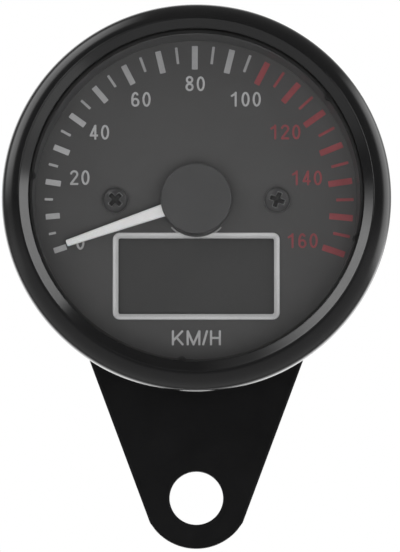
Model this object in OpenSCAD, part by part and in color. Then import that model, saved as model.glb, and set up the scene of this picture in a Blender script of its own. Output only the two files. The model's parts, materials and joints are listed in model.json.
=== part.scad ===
// Round motorcycle speedometer on a flat bracket.
// A pointer driven by a small geared motor shows the speed, and a display window holds the trip counter.
// The origin is the centre of the bracket's bolt hole, +Z is up and the dial faces -Y.

/* [Bezel] */
// Widest diameter of the bezel ring
bezel_d = 60; // [54:0.5:90]
// From the widest edge in to the front crest
crest_inset = 2.8; // [2.2:0.1:3.6]
// From the crest in to the lens opening
bevel_width = 1.5; // [0.8:0.1:2]
// Depth of the bevel between the crest and the lens opening
bevel_depth = 2; // [1:0.1:3]
// Height of the lip below the bevel, which presses on the lens gasket
lip_height = 0.5; // [0.3:0.1:1]
// Depth of the widest plane behind the crest
bulge_depth = 5.4; // [4.4:0.1:6]
// From the widest edge in to the straight skirt
skirt_inset = 1.1; // [0.6:0.1:1.6]
// Thickness of the bezel's sheet metal
bezel_wall = 0.8; // [0.5:0.1:1]

/* [Lens and spacer] */
// Thickness of the lens
lens_t = 2; // [1:0.1:3]
// Thickness of the rubber gasket over the lens
gasket_t = 0.6; // [0.3:0.1:1]
// Width of the gasket that shows inside the lens opening
gasket_show = 0.5; // [0.2:0.1:1]
// Height of the spacer between the lens and the dial
spacer_h = 4.9; // [4.5:0.1:7]
// How far the spacer covers the edge of the dial
dial_cover = 0.6; // [0.3:0.1:1]

/* [Dial] */
// Thickness of the dial plate
dial_t = 0.8; // [0.5:0.1:1.5]
// Width of the ledge in the case that carries the dial's edge
ledge_width = 1.3; // [0.8:0.1:1.6]
// Distance of each dial screw from the pointer's axis
dial_screw_x = 12.5; // [10:0.1:13.5]
// Thickness of the printed marks
ink_t = 0.08; // [0.04:0.01:0.15]

/* [Scale] */
// Highest speed on the scale
top_speed = 160; // [100:20:200]
// Speed at which the red marks start
red_speed = 100; // [60:20:160]
// Angle of the zero mark, counted from the right and over the top
zero_angle = 200; // [190:1:215]
// Angle from the zero mark to the last mark
scale_sweep = 220; // [180:1:240]
// From the dial's edge in to the outer end of the first marks
scale_inset = 2.2; // [1.5:0.1:4]
// How much further out the last marks reach
scale_growth = 1.1; // [0:0.1:1.2]
// Length of the first long mark
long_mark = 2.45; // [2:0.05:4]
// Length of the first short mark
short_mark = 1.4; // [1:0.05:2]
// How much further in the last marks reach
scale_shift = 0.4; // [0:0.05:1]
// Width of a long mark
long_mark_width = 1; // [0.5:0.05:1.4]
// Width of a short mark
short_mark_width = 0.45; // [0.25:0.05:0.8]

/* [Numbers] */
// Speed at which the red numbers start
red_number = 120; // [60:20:160]
// Height of the numbers
number_h = 2.16; // [1.8:0.02:2.5]
// Width of a digit
digit_w = 1.25; // [1.1:0.05:1.4]
// Distance between the middles of neighbouring digits
digit_pitch = 1.7; // [1.6:0.05:1.8]
// Width of the lines that the digits are drawn with
digit_line = 0.3; // [0.2:0.02:0.34]
// From the dial's edge in to the middle of a number with two digits
number_inset = 7.7; // [7.2:0.1:8.4]
// How far the numbers beside the axis sit above their marks
number_lift = 1.2; // [0:0.1:1.4]
// Height of the unit's letters
letter_h = 2.3; // [1.8:0.05:2.6]
// Width of the lines that the letters are drawn with
letter_line = 0.33; // [0.2:0.01:0.4]
// Place of the unit on the way from the display frame to the spacer
unit_share = 0.4; // [0.36:0.01:0.5]

/* [Display] */
// Width of the display window
window_w = 24; // [18:0.5:24.5]
// Height of the display window
window_h = 11.7; // [8:0.1:12]
// From the pointer's axis down to the top of the display frame
frame_drop = 5.02; // [4.6:0.02:5.5]
// Width of the frame's bar
frame_bar = 0.9; // [0.5:0.05:1.2]
// Thickness of the frame
frame_t = 0.3; // [0.2:0.05:0.4]
// How far the display glass reaches past the window at each side
glass_lap = 1.5; // [1:0.1:1.7]
// Thickness of the display glass
glass_t = 2; // [1.2:0.1:3]
// Thickness of the light guide behind the display glass
guide_t = 1.5; // [1:0.1:2.5]
// Depth of the contact strip below the display glass
strip_w = 1.6; // [1:0.1:2]

/* [Pointer] */
// Diameter of the hub cap's face
hub_d = 11; // [10:0.1:12]
// Diameter of the hub cap at its foot
hub_foot_d = 10.2; // [9.6:0.1:12]
// Gap between the heads of the dial screws and the needle that sweeps over them
needle_clear = 0.4; // [0.3:0.05:0.7]
// Gap between the hub cap and the dial
hub_gap = 0.6; // [0.5:0.05:1]
// Wall of the hub cap
hub_wall = 0.8; // [0.5:0.1:1]
// Width of the needle at the hub cap
needle_root = 1.93; // [1.2:0.01:3]
// Width of the needle's tip
needle_tip = 1.03; // [0.6:0.01:2]
// Thickness of the needle
needle_t = 0.7; // [0.4:0.05:0.9]
// How far the needle's tip reaches over the long marks
needle_reach = 0.3; // [-2:0.1:2]
// Angle of the resting needle above the zero mark
needle_rest = 1; // [0:0.5:4]
// Diameter of the pointer shaft
shaft_d = 1; // [0.8:0.05:1.3]

/* [Case] */
// Overall depth from the bezel's crest to the back of the case
gauge_depth = 38; // [36.5:0.5:50]
// Width of the case's flange, from the case wall out
flange_width = 1.9; // [1.2:0.1:2.6]
// Thickness of the case's flange
flange_t = 3.3; // [2.5:0.1:5]
// Wall of the case
case_wall = 1.6; // [1.2:0.1:1.8]
// Thickness of the case's floor
floor_t = 2; // [1.5:0.1:3]
// Radius of the rounded edge at the back of the case
case_round = 2; // [0.5:0.1:3]

/* [Bracket] */
// Height of the gauge's axis above the bolt hole
axis_height = 44; // [38:0.5:80]
// Diameter of the bolt hole
bolt_hole_d = 8.5; // [5:0.1:10]
// Radius of the bracket's foot
foot_r = 8.6; // [7:0.1:12]
// Height of the foot's centre above the bolt hole
foot_lift = 0.6; // [0:0.1:2]
// Angle below the middle of the foot where its straight edges start
foot_corner = 31; // [20:1:40]
// From the case wall in to the edge of the bracket's head
head_inset = 2.4; // [1:0.1:4]
// Thickness of the bracket plate
plate_t = 2; // [1.5:0.1:4]
// Thickness of the rubber pads between the case and the bracket
pad_t = 1.5; // [1:0.1:4]
// Diameter of the rubber pads
pad_d = 13; // [9:0.5:14]

/* [Studs and nuts] */
// Distance of each stud from the gauge's axis
stud_x = 10; // [9:0.1:14]
// Diameter of the studs
stud_d = 5; // [4:0.5:6]
// Diameter of the stud's head inside the case
stud_head_d = 8; // [7:0.1:10]
// Thickness of the stud's head
stud_head_t = 1.6; // [1:0.1:2.4]
// Size of the stud nuts across their flats
nut_af = 8; // [7.5:0.1:10]
// Height of the stud nuts
nut_h = 4; // [3:0.1:5]
// Outer diameter of the washers
washer_d = 10; // [8:0.1:12]
// Thickness of the flat washers
washer_t = 1; // [0.6:0.1:1.6]
// Thickness of the spring washers
spring_t = 1.3; // [0.8:0.1:2]
// How far each stud stands out of its nut
stud_end = 1.7; // [0.5:0.1:5]

/* [Cable grommet] */
// From the case wall in to the middle of the grommet
grommet_inset = 12; // [11.4:0.1:12.8]
// Diameter of the grommet's neck in the case floor
grommet_neck_d = 9.8; // [8.5:0.1:10]
// Diameter of the grommet's flanges
grommet_flange_d = 12.4; // [11.5:0.1:13]
// Bore of the grommet for the cable
cable_d = 4.5; // [3:0.1:6]
// How far the grommet stands out behind the bracket
grommet_out = 2.5; // [1:0.1:6]

/* [Mode button] */
// From the case wall in to the middle of the button
button_inset = 11; // [10:0.1:12.5]
// Diameter of the button
button_d = 6; // [5:0.1:6.4]
// Travel of the button
button_travel = 0.5; // [0.2:0.05:0.8]
// How far the button stands out behind the bracket
button_out = 2.2; // [1.6:0.1:5]
// Diameter of the sleeve that guides the button
bush_d = 8.4; // [8.2:0.1:9]
// Diameter of the flange on that sleeve
bush_flange_d = 10.8; // [10.2:0.1:12]
// Thickness of that flange
bush_flange_t = 1.2; // [0.8:0.1:2]
// Thickness of the seal under the flange
seal_t = 0.5; // [0.3:0.1:1]
// Side of the square push switch
switch_side = 6; // [5:0.1:7]
// Height of the push switch
switch_h = 3.5; // [2.5:0.1:5]

/* [Carrier and board] */
// Thickness of the flange by which the carrier sits on the ledge
carrier_flange_t = 1; // [0.6:0.1:2]
// Width of the carrier's rim wall
carrier_rim = 1.6; // [1:0.1:2]
// Thickness of the carrier's floor
carrier_floor_t = 1.5; // [1:0.1:2.5]
// Height of the gap between the carrier's floor and the board
board_gap = 1.2; // [1:0.1:3]
// Thickness of the circuit board
board_t = 1.6; // [0.8:0.1:2]
// Diameter of the small screws in dial and board
screw_d = 2; // [1.6:0.1:2.2]
// Diameter of their heads
screw_head_d = 4; // [3.4:0.1:4.4]
// Height of their heads
screw_head_h = 1.3; // [1:0.1:1.6]
// Length of the dial screws below the head
dial_screw_l = 4.5; // [3:0.1:5.5]
// Length of the board screws below the head
board_screw_l = 4; // [2.5:0.1:5]
// From the board's edge in to the board screws
board_screw_inset = 3.2; // [3:0.1:3.6]

/* [Board parts] */
// Gap between the motor and the chips beside it
chip_gap = 0.6; // [0.3:0.1:1]
// Side of the square controller chip
chip_side = 5; // [4:0.1:6]
// Height of the controller chip
chip_h = 1.2; // [0.8:0.1:2]
// Length of the voltage regulator
regulator_l = 5; // [4:0.1:6]
// Width of the voltage regulator
regulator_w = 3.5; // [3:0.1:5]
// Height of the voltage regulator
regulator_h = 1.5; // [1:0.1:2.5]
// Diameter of the smoothing capacitor
capacitor_d = 5; // [4:0.1:6]
// Height of the smoothing capacitor
capacitor_h = 6; // [4:0.1:10]
// Distance of the capacitor beside the button
capacitor_x = 9; // [8:0.1:10]
// Width of the wire header
header_w = 7.5; // [5:0.1:8.5]
// Depth of the wire header
header_l = 4; // [3:0.1:5]
// Height of the wire header
header_h = 5; // [3:0.1:8]
// Distance of the wire header's middle beside the button
header_x = 8.75; // [8.5:0.05:9]
// Distance between the backlight lamps
lamp_pitch = 8; // [5:0.1:9]
// Length of a lamp
lamp_w = 3.5; // [2:0.1:4]
// Width of a lamp
lamp_h = 2.8; // [1.6:0.1:3.5]
// Height of a lamp
lamp_t = 0.8; // [0.4:0.1:0.9]

/* [Motor] */
// Height of the motor
motor_h = 9; // [8.9:0.1:12]
// Half the width of the motor
motor_half_w = 13.2; // [13:0.1:13.6]
// Wall of the motor's covers
motor_wall = 1; // [0.8:0.1:1.1]
// Diameter of the rotor magnet
magnet_d = 5.2; // [4:0.1:6]
// Height of the rotor magnet
magnet_h = 3.2; // [2:0.1:3.4]
// Gap between the magnet and the stator
air_gap = 0.35; // [0.2:0.05:0.5]
// Thickness of the stator core
core_t = 1.5; // [1:0.1:1.8]
// Outer diameter of the coils
coil_d = 4; // [3:0.1:4]
// Length of the coils
coil_l = 8; // [5:0.1:9]
// From the motor's side in to its pins
motor_pin_inset = 2.3; // [2:0.1:3]
// Distance of the pins above and below the motor's middle
motor_pin_rise = 6.2; // [5:0.1:8]

/* [Gears] */
// Teeth on both wheels
wheel_teeth = 72; // [48:6:84]
// Teeth on both pinions
pinion_teeth = 12; // [12:1:14]
// Tooth module of the pair at the pointer shaft
slow_module = 0.2; // [0.18:0.01:0.22]
// Tooth module of the pair at the rotor
fast_module = 0.15; // [0.13:0.01:0.16]
// How much thinner each tooth is than half the pitch
backlash = 0.02; // [0.01:0.005:0.03]
// Thickness of the wheels
wheel_t = 0.8; // [0.5:0.05:0.8]
// Diameter of the fixed pins on which the gears turn
arbor_d = 0.6; // [0.4:0.05:0.7]

/* [Hidden] */
$fn = 96;

// Clearances: between stacked round pieces, round a pin in its hole, and past the end of a cut
fit_gap = 0.2;
pin_gap = 0.05;
cut = 1;

// Radii of the bezel, the case and what lies between them
bezel_r = bezel_d / 2;
crest_r = bezel_r - crest_inset;
lip_r = crest_r - bevel_width;
skirt_r = bezel_r - skirt_inset;
bore_r = skirt_r - bezel_wall;
flange_r = bore_r - fit_gap;
case_r = flange_r - flange_width;
inner_r = case_r - case_wall;
ledge_r = inner_r + ledge_width;
dial_r = ledge_r - fit_gap;
spacer_r = dial_r - dial_cover;
gasket_r = lip_r - gasket_show;
bulge_r = (crest_inset * crest_inset + bulge_depth * bulge_depth) / (2 * crest_inset);

// Heights along the gauge's axis, counted from the middle of the bracket plate to the front
plate_front = plate_t / 2;
plate_rear = -plate_t / 2;
case_rear = plate_front + pad_t;
case_floor = case_rear + floor_t;
crest_z = case_rear + gauge_depth;
bevel_z = crest_z - bevel_depth;
bulge_z = crest_z - bulge_depth;
lip_z = bevel_z - lip_height;
lens_front = lip_z - gasket_t;
lens_rear = lens_front - lens_t;
dial_front = lens_rear - spacer_h;
dial_rear = dial_front - dial_t;
ledge_z = dial_rear - carrier_flange_t;
flange_rear = dial_front - flange_t;
hem_rear = flange_rear - bezel_wall;
glass_rear = dial_rear - glass_t;
guide_rear = glass_rear - guide_t;
carrier_rear = guide_rear - carrier_floor_t;
board_front = carrier_rear - board_gap;
board_rear = board_front - board_t;
motor_rear = board_rear - motor_h;

// Display window, frame and glass
window_y = -frame_drop - frame_bar - window_h / 2;
window_corner = 0.3;
frame_corner = 1.1;
frame_bottom = frame_drop + 2 * frame_bar + window_h;
glass_w = window_w + 2 * glass_lap;
glass_h = window_h + 2 * glass_lap;
glass_bottom = window_y - glass_h / 2;
guide_bottom = glass_bottom + strip_w + 2 * fit_gap;
guide_top = window_y + glass_h / 2;
carrier_r = inner_r - fit_gap;
carrier_skin = 0.5;

// Numbers and unit
number_r = dial_r - number_inset;
number_step = 0.3;
number_shift = -0.2;
unit_y = -frame_bottom - unit_share * (spacer_r - frame_bottom) - letter_h / 2;

// Hub cap, needle and shaft
hub_r = hub_d / 2;
hub_foot_r = hub_foot_d / 2;
hub_foot = dial_front + hub_gap;
needle_z = dial_front + screw_head_h + needle_clear;
boss_top = needle_z + needle_t;
hub_face = boss_top + hub_wall;
boss_h = 1.2;
boss_r = hub_foot_r - hub_wall - pin_gap;
needle_angle = zero_angle - needle_rest;
long_inner = dial_r - scale_inset - long_mark;
needle_r = long_inner + needle_reach;
shaft_r = shaft_d / 2;
shaft_hole = shaft_r + pin_gap;
shaft_sleeve_r = shaft_r + 1;
dial_hole_r = shaft_sleeve_r + 0.7;

// Gear train: the pointer's wheel, the intermediate wheel and the rotor
slow_wheel_r = slow_module * wheel_teeth / 2;
fast_wheel_r = fast_module * wheel_teeth / 2;
slow_distance = slow_module * (wheel_teeth + pinion_teeth) / 2;
fast_distance = fast_module * (wheel_teeth + pinion_teeth) / 2;
slow_direction = -60;
intermediate = slow_distance * [cos(slow_direction), sin(slow_direction)];
rotor = [0, intermediate[1] - sqrt(pow(fast_distance, 2) - pow(intermediate[0], 2))];
fast_direction = atan2(rotor[1] - intermediate[1], rotor[0] - intermediate[0]);
pressure_angle = 20;
addendum = 0.75;
dedendum = 1;
gear_clear = 0.4;
motor_inside = board_rear - motor_wall;
motor_base = motor_rear + motor_wall;
slow_front = motor_inside - gear_clear;
slow_rear = slow_front - wheel_t;
fast_front = slow_rear - gear_clear;
fast_rear = fast_front - wheel_t;
magnet_front = fast_rear - gear_clear;
magnet_rear = magnet_front - magnet_h;
arbor_r = arbor_d / 2;
arbor_hole = arbor_r + 0.03;

// Stator, coils and motor housing
magnet_r = magnet_d / 2;
pole_inner = magnet_r + air_gap;
pole_outer = pole_inner + 1.6;
core_arm = 2;
coil_x = 9.5;
coil_r = coil_d / 2;
core_top = 3.6;
coil_y = (core_top - core_arm / 2 + rotor[1]) / 2;
bobbin_wall = 0.15;
core_z = motor_base + coil_r + bobbin_wall + 2 * pin_gap - core_t / 2;
bobbin_flange = 0.4;
bobbin_r = norm([core_arm, core_t]) / 2 + bobbin_wall;
motor_corner = 4;
motor_top = slow_wheel_r + slow_module + gear_clear + motor_wall;
motor_bottom = rotor[1] - pole_outer - gear_clear - motor_wall;
motor_mid = (motor_top + motor_bottom) / 2;
pin_places = [
    for (x = [-1, 1], y = [-1, 1])
        [x * (motor_half_w - motor_pin_inset), motor_mid + y * motor_pin_rise]
];
motor_pin_r = 0.35;

// Screw places on the board
screw_r = screw_d / 2;
screw_hole = screw_r + pin_gap;
screw_boss_r = screw_r + 1.4;
board_r = inner_r - 4.5 * fit_gap;
board_screws = [
    for (angle = [33, 147, 207.5, 332.5]) (board_r - board_screw_inset) * [cos(angle), sin(angle)]
];

// Lamps behind the display
lamp_places = [-lamp_pitch, 0, lamp_pitch];

// Button and switch
button_rise = case_r - button_inset;
switch_rear = board_rear - switch_h;
plunger_r = 1.7;
plunger_h = 1.5;
plunger_depth = 1;
plunger_rear = switch_rear - plunger_h + plunger_depth;
bush_flange_rear = case_rear - seal_t - bush_flange_t;
bush_front = case_floor + 1;
button_r = button_d / 2;
shoulder_h = 1.2;
stem_r = 1.6;
button_rear = plate_rear - button_out;

// Bracket outline
head_r = case_r - head_inset;
foot_y = foot_lift - axis_height;
corner_x = foot_r * cos(foot_corner);
corner_y = foot_y - foot_r * sin(foot_corner);
edge_angle = asin(head_r / norm([corner_x, corner_y])) - atan2(corner_x, -corner_y);
stud_rear = plate_rear - washer_t - spring_t - nut_h - stud_end;
grommet_drop = case_r - grommet_inset;

function arc_points(centre, radius, from, to, steps) = [
    for (i = [0 : steps])
        centre + radius * [cos(from + (to - from) * i / steps), sin(from + (to - from) * i / steps)]
];

function round_box(width, height, corner) = [
    for (i = [0 : 3])
        each arc_points([(i % 3 == 0 ? 1 : -1) * (width / 2 - corner),
            (i < 2 ? 1 : -1) * (height / 2 - corner)], corner, 90 * i, 90 * (i + 1), 8)
];

function oval_points(centre, size, from, to, steps) = [
    for (i = [0 : steps])
        let (angle = from + (to - from) * i / steps)
        centre + [size[0] * cos(angle), size[1] * sin(angle)]
];

function unit_vector(vector) = vector / norm(vector);

// Points beside a path, at a steady distance from it, with its corners mitred
function beside(path, distance) =
    let (last = len(path) - 1) [
        for (i = [0 : last])
            let (
                before = unit_vector(path[max(i, 1)] - path[max(i, 1) - 1]),
                after = unit_vector(path[min(i + 1, last)] - path[min(i + 1, last) - 1]),
                middle = unit_vector(before + after)
            )
            path[i] + distance / (middle * before) * [-middle[1], middle[0]]
    ];

function stroke_points(path, width) =
    let (back = beside(path, -width / 2))
    concat(beside(path, width / 2), [for (i = [len(back) - 1 : -1 : 0]) back[i]]);

// Involute tooth: its half angle at a radius, from the pitch radius and the base radius
function involute(angle) = tan(angle) * 180 / PI - angle;

function half_tooth(radius, pitch_r, teeth) =
    90 / teeth - backlash / pitch_r * 90 / PI + involute(pressure_angle)
        - involute(acos(min(1, pitch_r * cos(pressure_angle) / radius)));

function gear_points(teeth, size) =
    let (
        pitch_r = teeth * size / 2,
        root_r = pitch_r - dedendum * size,
        tip_r = pitch_r + addendum * size,
        flank_r = max(root_r, pitch_r * cos(pressure_angle)),
        radii = [root_r, flank_r, (2 * flank_r + tip_r) / 3, (flank_r + 2 * tip_r) / 3, tip_r],
        first = flank_r > root_r ? 0 : 1
    ) [
        for (tooth = [0 : teeth - 1], side = [-1, 1], i = [first : 4])
            let (
                k = side < 0 ? i : 4 + first - i,
                angle = tooth * 360 / teeth + side * half_tooth(max(radii[k], flank_r), pitch_r, teeth)
            )
            radii[k] * [cos(angle), sin(angle)]
    ];

// Puts a piece drawn with the gauge's axis along +Z, and with +Y up, in its place above the bolt hole
module gauge() {
    translate([0, 0, axis_height]) rotate([90, 0, 0]) children();
}

module within(radius) {
    intersection() {
        circle(radius);
        children();
    }
}

module ring(outer, inner, height) {
    difference() {
        cylinder(h = height, r = outer);
        translate([0, 0, -cut]) cylinder(h = height + 2 * cut, r = inner);
    }
}

module gear(teeth, size, thickness, bore) {
    linear_extrude(thickness) difference() {
        polygon(gear_points(teeth, size));
        circle(bore);
    }
}

// Bezel: pressed sheet with a bevelled lip in front and a hem rolled in behind the case's flange
module bezel_fill(inset) {
    intersection() {
        translate([bezel_r - bulge_r, bulge_z]) circle(bulge_r - inset);
        translate([0, hem_rear]) square([bezel_r + cut, crest_z - hem_rear]);
    }
    translate([0, hem_rear]) square([skirt_r - inset, bulge_z - hem_rear]);
}

module bezel_section() {
    bevel_angle = atan2(bevel_depth, bevel_width);
    under_r = lip_r + bezel_wall * sin(bevel_angle);
    under_z = bevel_z - bezel_wall * cos(bevel_angle);
    difference() {
        bezel_fill(0);
        translate([0, hem_rear - cut]) square([lip_r, crest_z - hem_rear + 2 * cut]);
        translate([0, hem_rear - cut]) square([case_r + 2 * fit_gap, bezel_wall + 2 * cut]);
        polygon([[lip_r, bevel_z], [crest_r, crest_z], [crest_r, crest_z + cut],
            [lip_r - cut, crest_z + cut], [lip_r - cut, bevel_z]]);
        intersection() {
            bezel_fill(bezel_wall);
            polygon([[0, flange_rear], [0, lip_z],
                [under_r + (lip_z - under_z) / tan(bevel_angle), lip_z],
                [under_r + (crest_z - under_z) / tan(bevel_angle), crest_z],
                [bezel_r, crest_z], [bezel_r, flange_rear]]);
        }
    }
}

module bezel_ring() {
    color("#1b1b1d") gauge() rotate_extrude() bezel_section();
}

module lens_gasket() {
    color("#101010") gauge() {
        translate([0, 0, lens_front]) ring(flange_r + fit_gap, gasket_r, gasket_t);
        translate([0, 0, lens_rear]) ring(flange_r + fit_gap, flange_r - fit_gap, lens_t);
    }
}

module lens_glass() {
    color("#c8d2d6", 0.25) gauge() translate([0, 0, lens_rear])
        cylinder(h = lens_t, r = flange_r - 2 * fit_gap);
}

module spacer_ring() {
    color("#232325") gauge() {
        translate([0, 0, dial_front + gasket_t]) ring(flange_r, spacer_r, spacer_h - gasket_t);
        translate([0, 0, dial_front]) ring(ledge_r, spacer_r, gasket_t);
    }
}

module case_gasket() {
    color("#101010") gauge() translate([0, 0, dial_front]) ring(flange_r, ledge_r + fit_gap, gasket_t);
}

module case_section() {
    edge = arc_points([case_r - case_round, case_rear + case_round], case_round, -90, 0, 8);
    polygon(concat([[0, case_floor], [0, case_rear]], edge, [[case_r, flange_rear], [flange_r, flange_rear],
        [flange_r, dial_front], [ledge_r, dial_front], [ledge_r, ledge_z], [inner_r, ledge_z],
        [inner_r, case_floor]]));
}

module case_shell() {
    color("#202022") gauge() difference() {
        rotate_extrude() case_section();
        for (x = [-stud_x, stud_x])
            translate([x, 0, case_rear - cut]) cylinder(h = floor_t + 2 * cut, r = stud_d / 2 + pin_gap);
        translate([0, -grommet_drop, case_rear - cut])
            cylinder(h = floor_t + 2 * cut, r = grommet_neck_d / 2 + pin_gap);
        translate([0, button_rise, case_rear - cut])
            cylinder(h = floor_t + 2 * cut, r = bush_d / 2 + pin_gap);
    }
}

// Dial with its printed marks
module dial_plate() {
    color("#37383a") gauge() translate([0, 0, dial_rear]) linear_extrude(dial_t) difference() {
        circle(dial_r);
        circle(dial_hole_r);
        for (x = [-dial_screw_x, dial_screw_x]) translate([x, 0]) circle(screw_r + 2 * pin_gap);
        translate([0, window_y]) polygon(round_box(window_w, window_h, window_corner));
    }
}

module speed_mark(speed, is_long) {
    share = speed / top_speed;
    outer = dial_r - scale_inset + scale_growth * share;
    inner = dial_r - scale_inset - (is_long ? long_mark : short_mark) - scale_shift * share;
    width = is_long ? long_mark_width : short_mark_width;
    rotate(zero_angle - scale_sweep * share) translate([inner, -width / 2]) square([outer - inner, width]);
}

module marks_between(first, last) {
    gauge() translate([0, 0, dial_front]) linear_extrude(ink_t)
        for (speed = [first : 5 : last]) speed_mark(speed, speed % 10 == 0);
}

module scale_marks() {
    color("#9a9b9d") marks_between(0, red_speed - 5);
}

module redline_marks() {
    color("#a33a3e") marks_between(red_speed, top_speed);
}

module frame_outline(grow) {
    within(spacer_r - fit_gap) translate([0, window_y])
        polygon(round_box(window_w + 2 * (frame_bar + grow), window_h + 2 * (frame_bar + grow),
            frame_corner + grow));
}

module display_frame() {
    color("#a9abae") gauge() translate([0, 0, dial_front]) linear_extrude(frame_t) difference() {
        frame_outline(0);
        translate([0, window_y]) polygon(round_box(window_w, window_h, window_corner));
    }
}

// Digits, drawn upright on the line y = 0
module oval_ring(centre, size) {
    difference() {
        polygon(oval_points(centre, size, 0, 345, 23));
        polygon(oval_points(centre, size - [digit_line, digit_line], 0, 345, 23));
    }
}

module digit_six() {
    half = digit_w / 2;
    bowl = [half, 0.32 * number_h];
    middle = [0, number_h / 2];
    inside = [half - digit_line, number_h / 2 - digit_line];
    difference() {
        polygon(concat(oval_points(middle, [half, number_h / 2], 35, 265, 16),
            oval_points([0, bowl[1]], bowl, -85, 118, 14), oval_points(middle, inside, 165, 40, 8)));
        polygon(oval_points([0, bowl[1]], bowl - [digit_line, digit_line], 0, 345, 23));
    }
}

module digit(name) {
    half = digit_w / 2;
    stem = 0.3 * half - digit_line / 2;
    curl = half - digit_line / 2;
    if (name == "0") oval_ring([0, number_h / 2], [half, number_h / 2]);
    if (name == "1" || name == "4") translate([stem, 0]) square([digit_line, number_h]);
    if (name == "1")
        polygon(stroke_points([[0.3 * half, number_h - 0.6 * digit_line],
            [-0.6 * half, 0.72 * number_h]], digit_line));
    if (name == "2") {
        polygon(stroke_points(concat(oval_points([0, number_h - half], [curl, curl], 165, -40, 12),
            [[digit_line - half, 0.7 * digit_line]]), digit_line));
        translate([-half, 0]) square([digit_w, digit_line]);
    }
    if (name == "4")
        polygon(stroke_points([[0.3 * half, number_h - 0.5 * digit_line],
            [digit_line - half, 0.34 * number_h], [half, 0.34 * number_h]], digit_line));
    if (name == "6") digit_six();
    if (name == "8") {
        oval_ring([0, 0.29 * number_h], [half, 0.29 * number_h]);
        oval_ring([0, 0.76 * number_h], [0.9 * half, 0.24 * number_h]);
    }
}

// A number beside its mark, in the middle of its digits
module speed_number(speed) {
    label = str(speed);
    angle = zero_angle - scale_sweep * speed / top_speed;
    radius = number_r + (2 - len(label)) * number_step;
    lift = number_lift * pow(cos(angle), 4) * (sin(angle) > 0 ? 1 : -1 / 3);
    translate([radius * cos(angle) + number_shift, radius * sin(angle) + lift - number_h / 2])
        for (i = [0 : len(label) - 1])
            translate([(i - (len(label) - 1) / 2) * digit_pitch, 0]) linear_extrude(ink_t) digit(label[i]);
}

module numbers_between(first, last) {
    gauge() translate([0, 0, dial_front]) difference() {
        for (speed = [first : 20 : last]) speed_number(speed);
        translate([0, 0, -cut]) linear_extrude(ink_t + 2 * cut) frame_outline(fit_gap);
    }
}

// Letters of the unit, drawn upright on the line y = 0
module letter(name, width) {
    half = width / 2;
    if (name != "/") translate([-half, 0]) square([letter_line, letter_h]);
    if (name == "M" || name == "H") translate([half - letter_line, 0]) square([letter_line, letter_h]);
    if (name == "H") translate([-half, (letter_h - letter_line) / 2]) square([width, letter_line]);
    if (name != "H") intersection() {
        translate([-half, 0]) square([width, letter_h]);
        union() {
            if (name == "K") {
                polygon(stroke_points([[-half, 0.28 * letter_h],
                    [half - letter_line, 1.1 * letter_h]], letter_line));
                polygon(stroke_points([[-0.3 * half, 0.52 * letter_h],
                    [half, -0.1 * letter_h]], letter_line));
            }
            if (name == "M")
                polygon(stroke_points([[letter_line / 2 - half, 1.1 * letter_h], [0, 0.14 * letter_h],
                    [half - letter_line / 2, 1.1 * letter_h]], letter_line));
            if (name == "/")
                polygon(stroke_points([[letter_line / 2 - half, -0.1 * letter_h],
                    [half - letter_line / 2, 1.1 * letter_h]], letter_line));
        }
    }
}

module speed_unit() {
    gauge() translate([0, unit_y, dial_front]) linear_extrude(ink_t) {
        translate([-1.26 * letter_h, 0]) letter("K", 0.78 * letter_h);
        translate([-0.18 * letter_h, 0]) letter("M", 0.94 * letter_h);
        translate([0.59 * letter_h, 0]) letter("/", 0.44 * letter_h);
        translate([1.3 * letter_h, 0]) letter("H", 0.77 * letter_h);
    }
}

module scale_numbers() {
    color("#9a9b9d") {
        numbers_between(0, red_number - 20);
        speed_unit();
    }
}

module redline_numbers() {
    color("#a33a3e") numbers_between(red_number, top_speed);
}

// Pan-head screw with a cross recess, head up, with its seat at zero
module pan_screw(length) {
    slot_w = 0.6;
    slot_l = 0.6 * screw_head_d;
    slot_depth = 0.6 * screw_head_h;
    dome_r = 0.75 * screw_head_h;
    difference() {
        union() {
            rotate_extrude() polygon(concat([[0, 0], [screw_head_d / 2, 0]],
                arc_points([screw_head_d / 2 - dome_r, screw_head_h - dome_r], dome_r, 0, 90, 6),
                [[0, screw_head_h]]));
            translate([0, 0, -length]) cylinder(h = length, r = screw_r);
        }
        for (turn = [0, 90]) rotate(turn)
            translate([-slot_l / 2, -slot_w / 2, screw_head_h - slot_depth]) cube([slot_l, slot_w, cut]);
    }
}

module dial_screws() {
    color("#1a1a1b") gauge() for (side = [-1, 1])
        translate([side * dial_screw_x, 0, dial_front]) rotate(20 * side) pan_screw(dial_screw_l);
}

// Pointer: needle with its boss, hub cap, shaft and wheel turn together
module pointer_needle() {
    color("#e4e5e6") gauge() rotate(needle_angle) difference() {
        union() {
            translate([0, 0, boss_top - boss_h]) cylinder(h = boss_h, r = boss_r);
            translate([0, 0, needle_z]) linear_extrude(needle_t)
                polygon([[0, -needle_root / 2], [hub_r, -needle_root / 2], [needle_r, -needle_tip / 2],
                    [needle_r, needle_tip / 2], [hub_r, needle_root / 2], [0, needle_root / 2]]);
        }
        translate([0, 0, boss_top - boss_h - cut]) cylinder(h = boss_h + 2 * cut, r = shaft_hole);
    }
}

module hub_cap() {
    edge_round = 0.35;
    color("#3a3b3d") gauge() rotate(needle_angle) difference() {
        rotate_extrude() polygon(concat([[0, boss_top], [hub_foot_r - hub_wall, boss_top],
            [hub_foot_r - hub_wall, hub_foot], [hub_foot_r, hub_foot]],
            arc_points([hub_r - edge_round, hub_face - edge_round], edge_round, 0, 90, 6),
            [[0, hub_face]]));
        translate([0, -needle_root / 2 - pin_gap, hub_foot - cut])
            cube([hub_r + cut, needle_root + 2 * pin_gap, boss_top - hub_foot + cut]);
    }
}

module pointer_shaft() {
    color("#b9bcc0") gauge() translate([0, 0, motor_base - motor_wall / 2])
        cylinder(h = boss_top - motor_base + motor_wall / 2, r = shaft_r);
}

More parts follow.
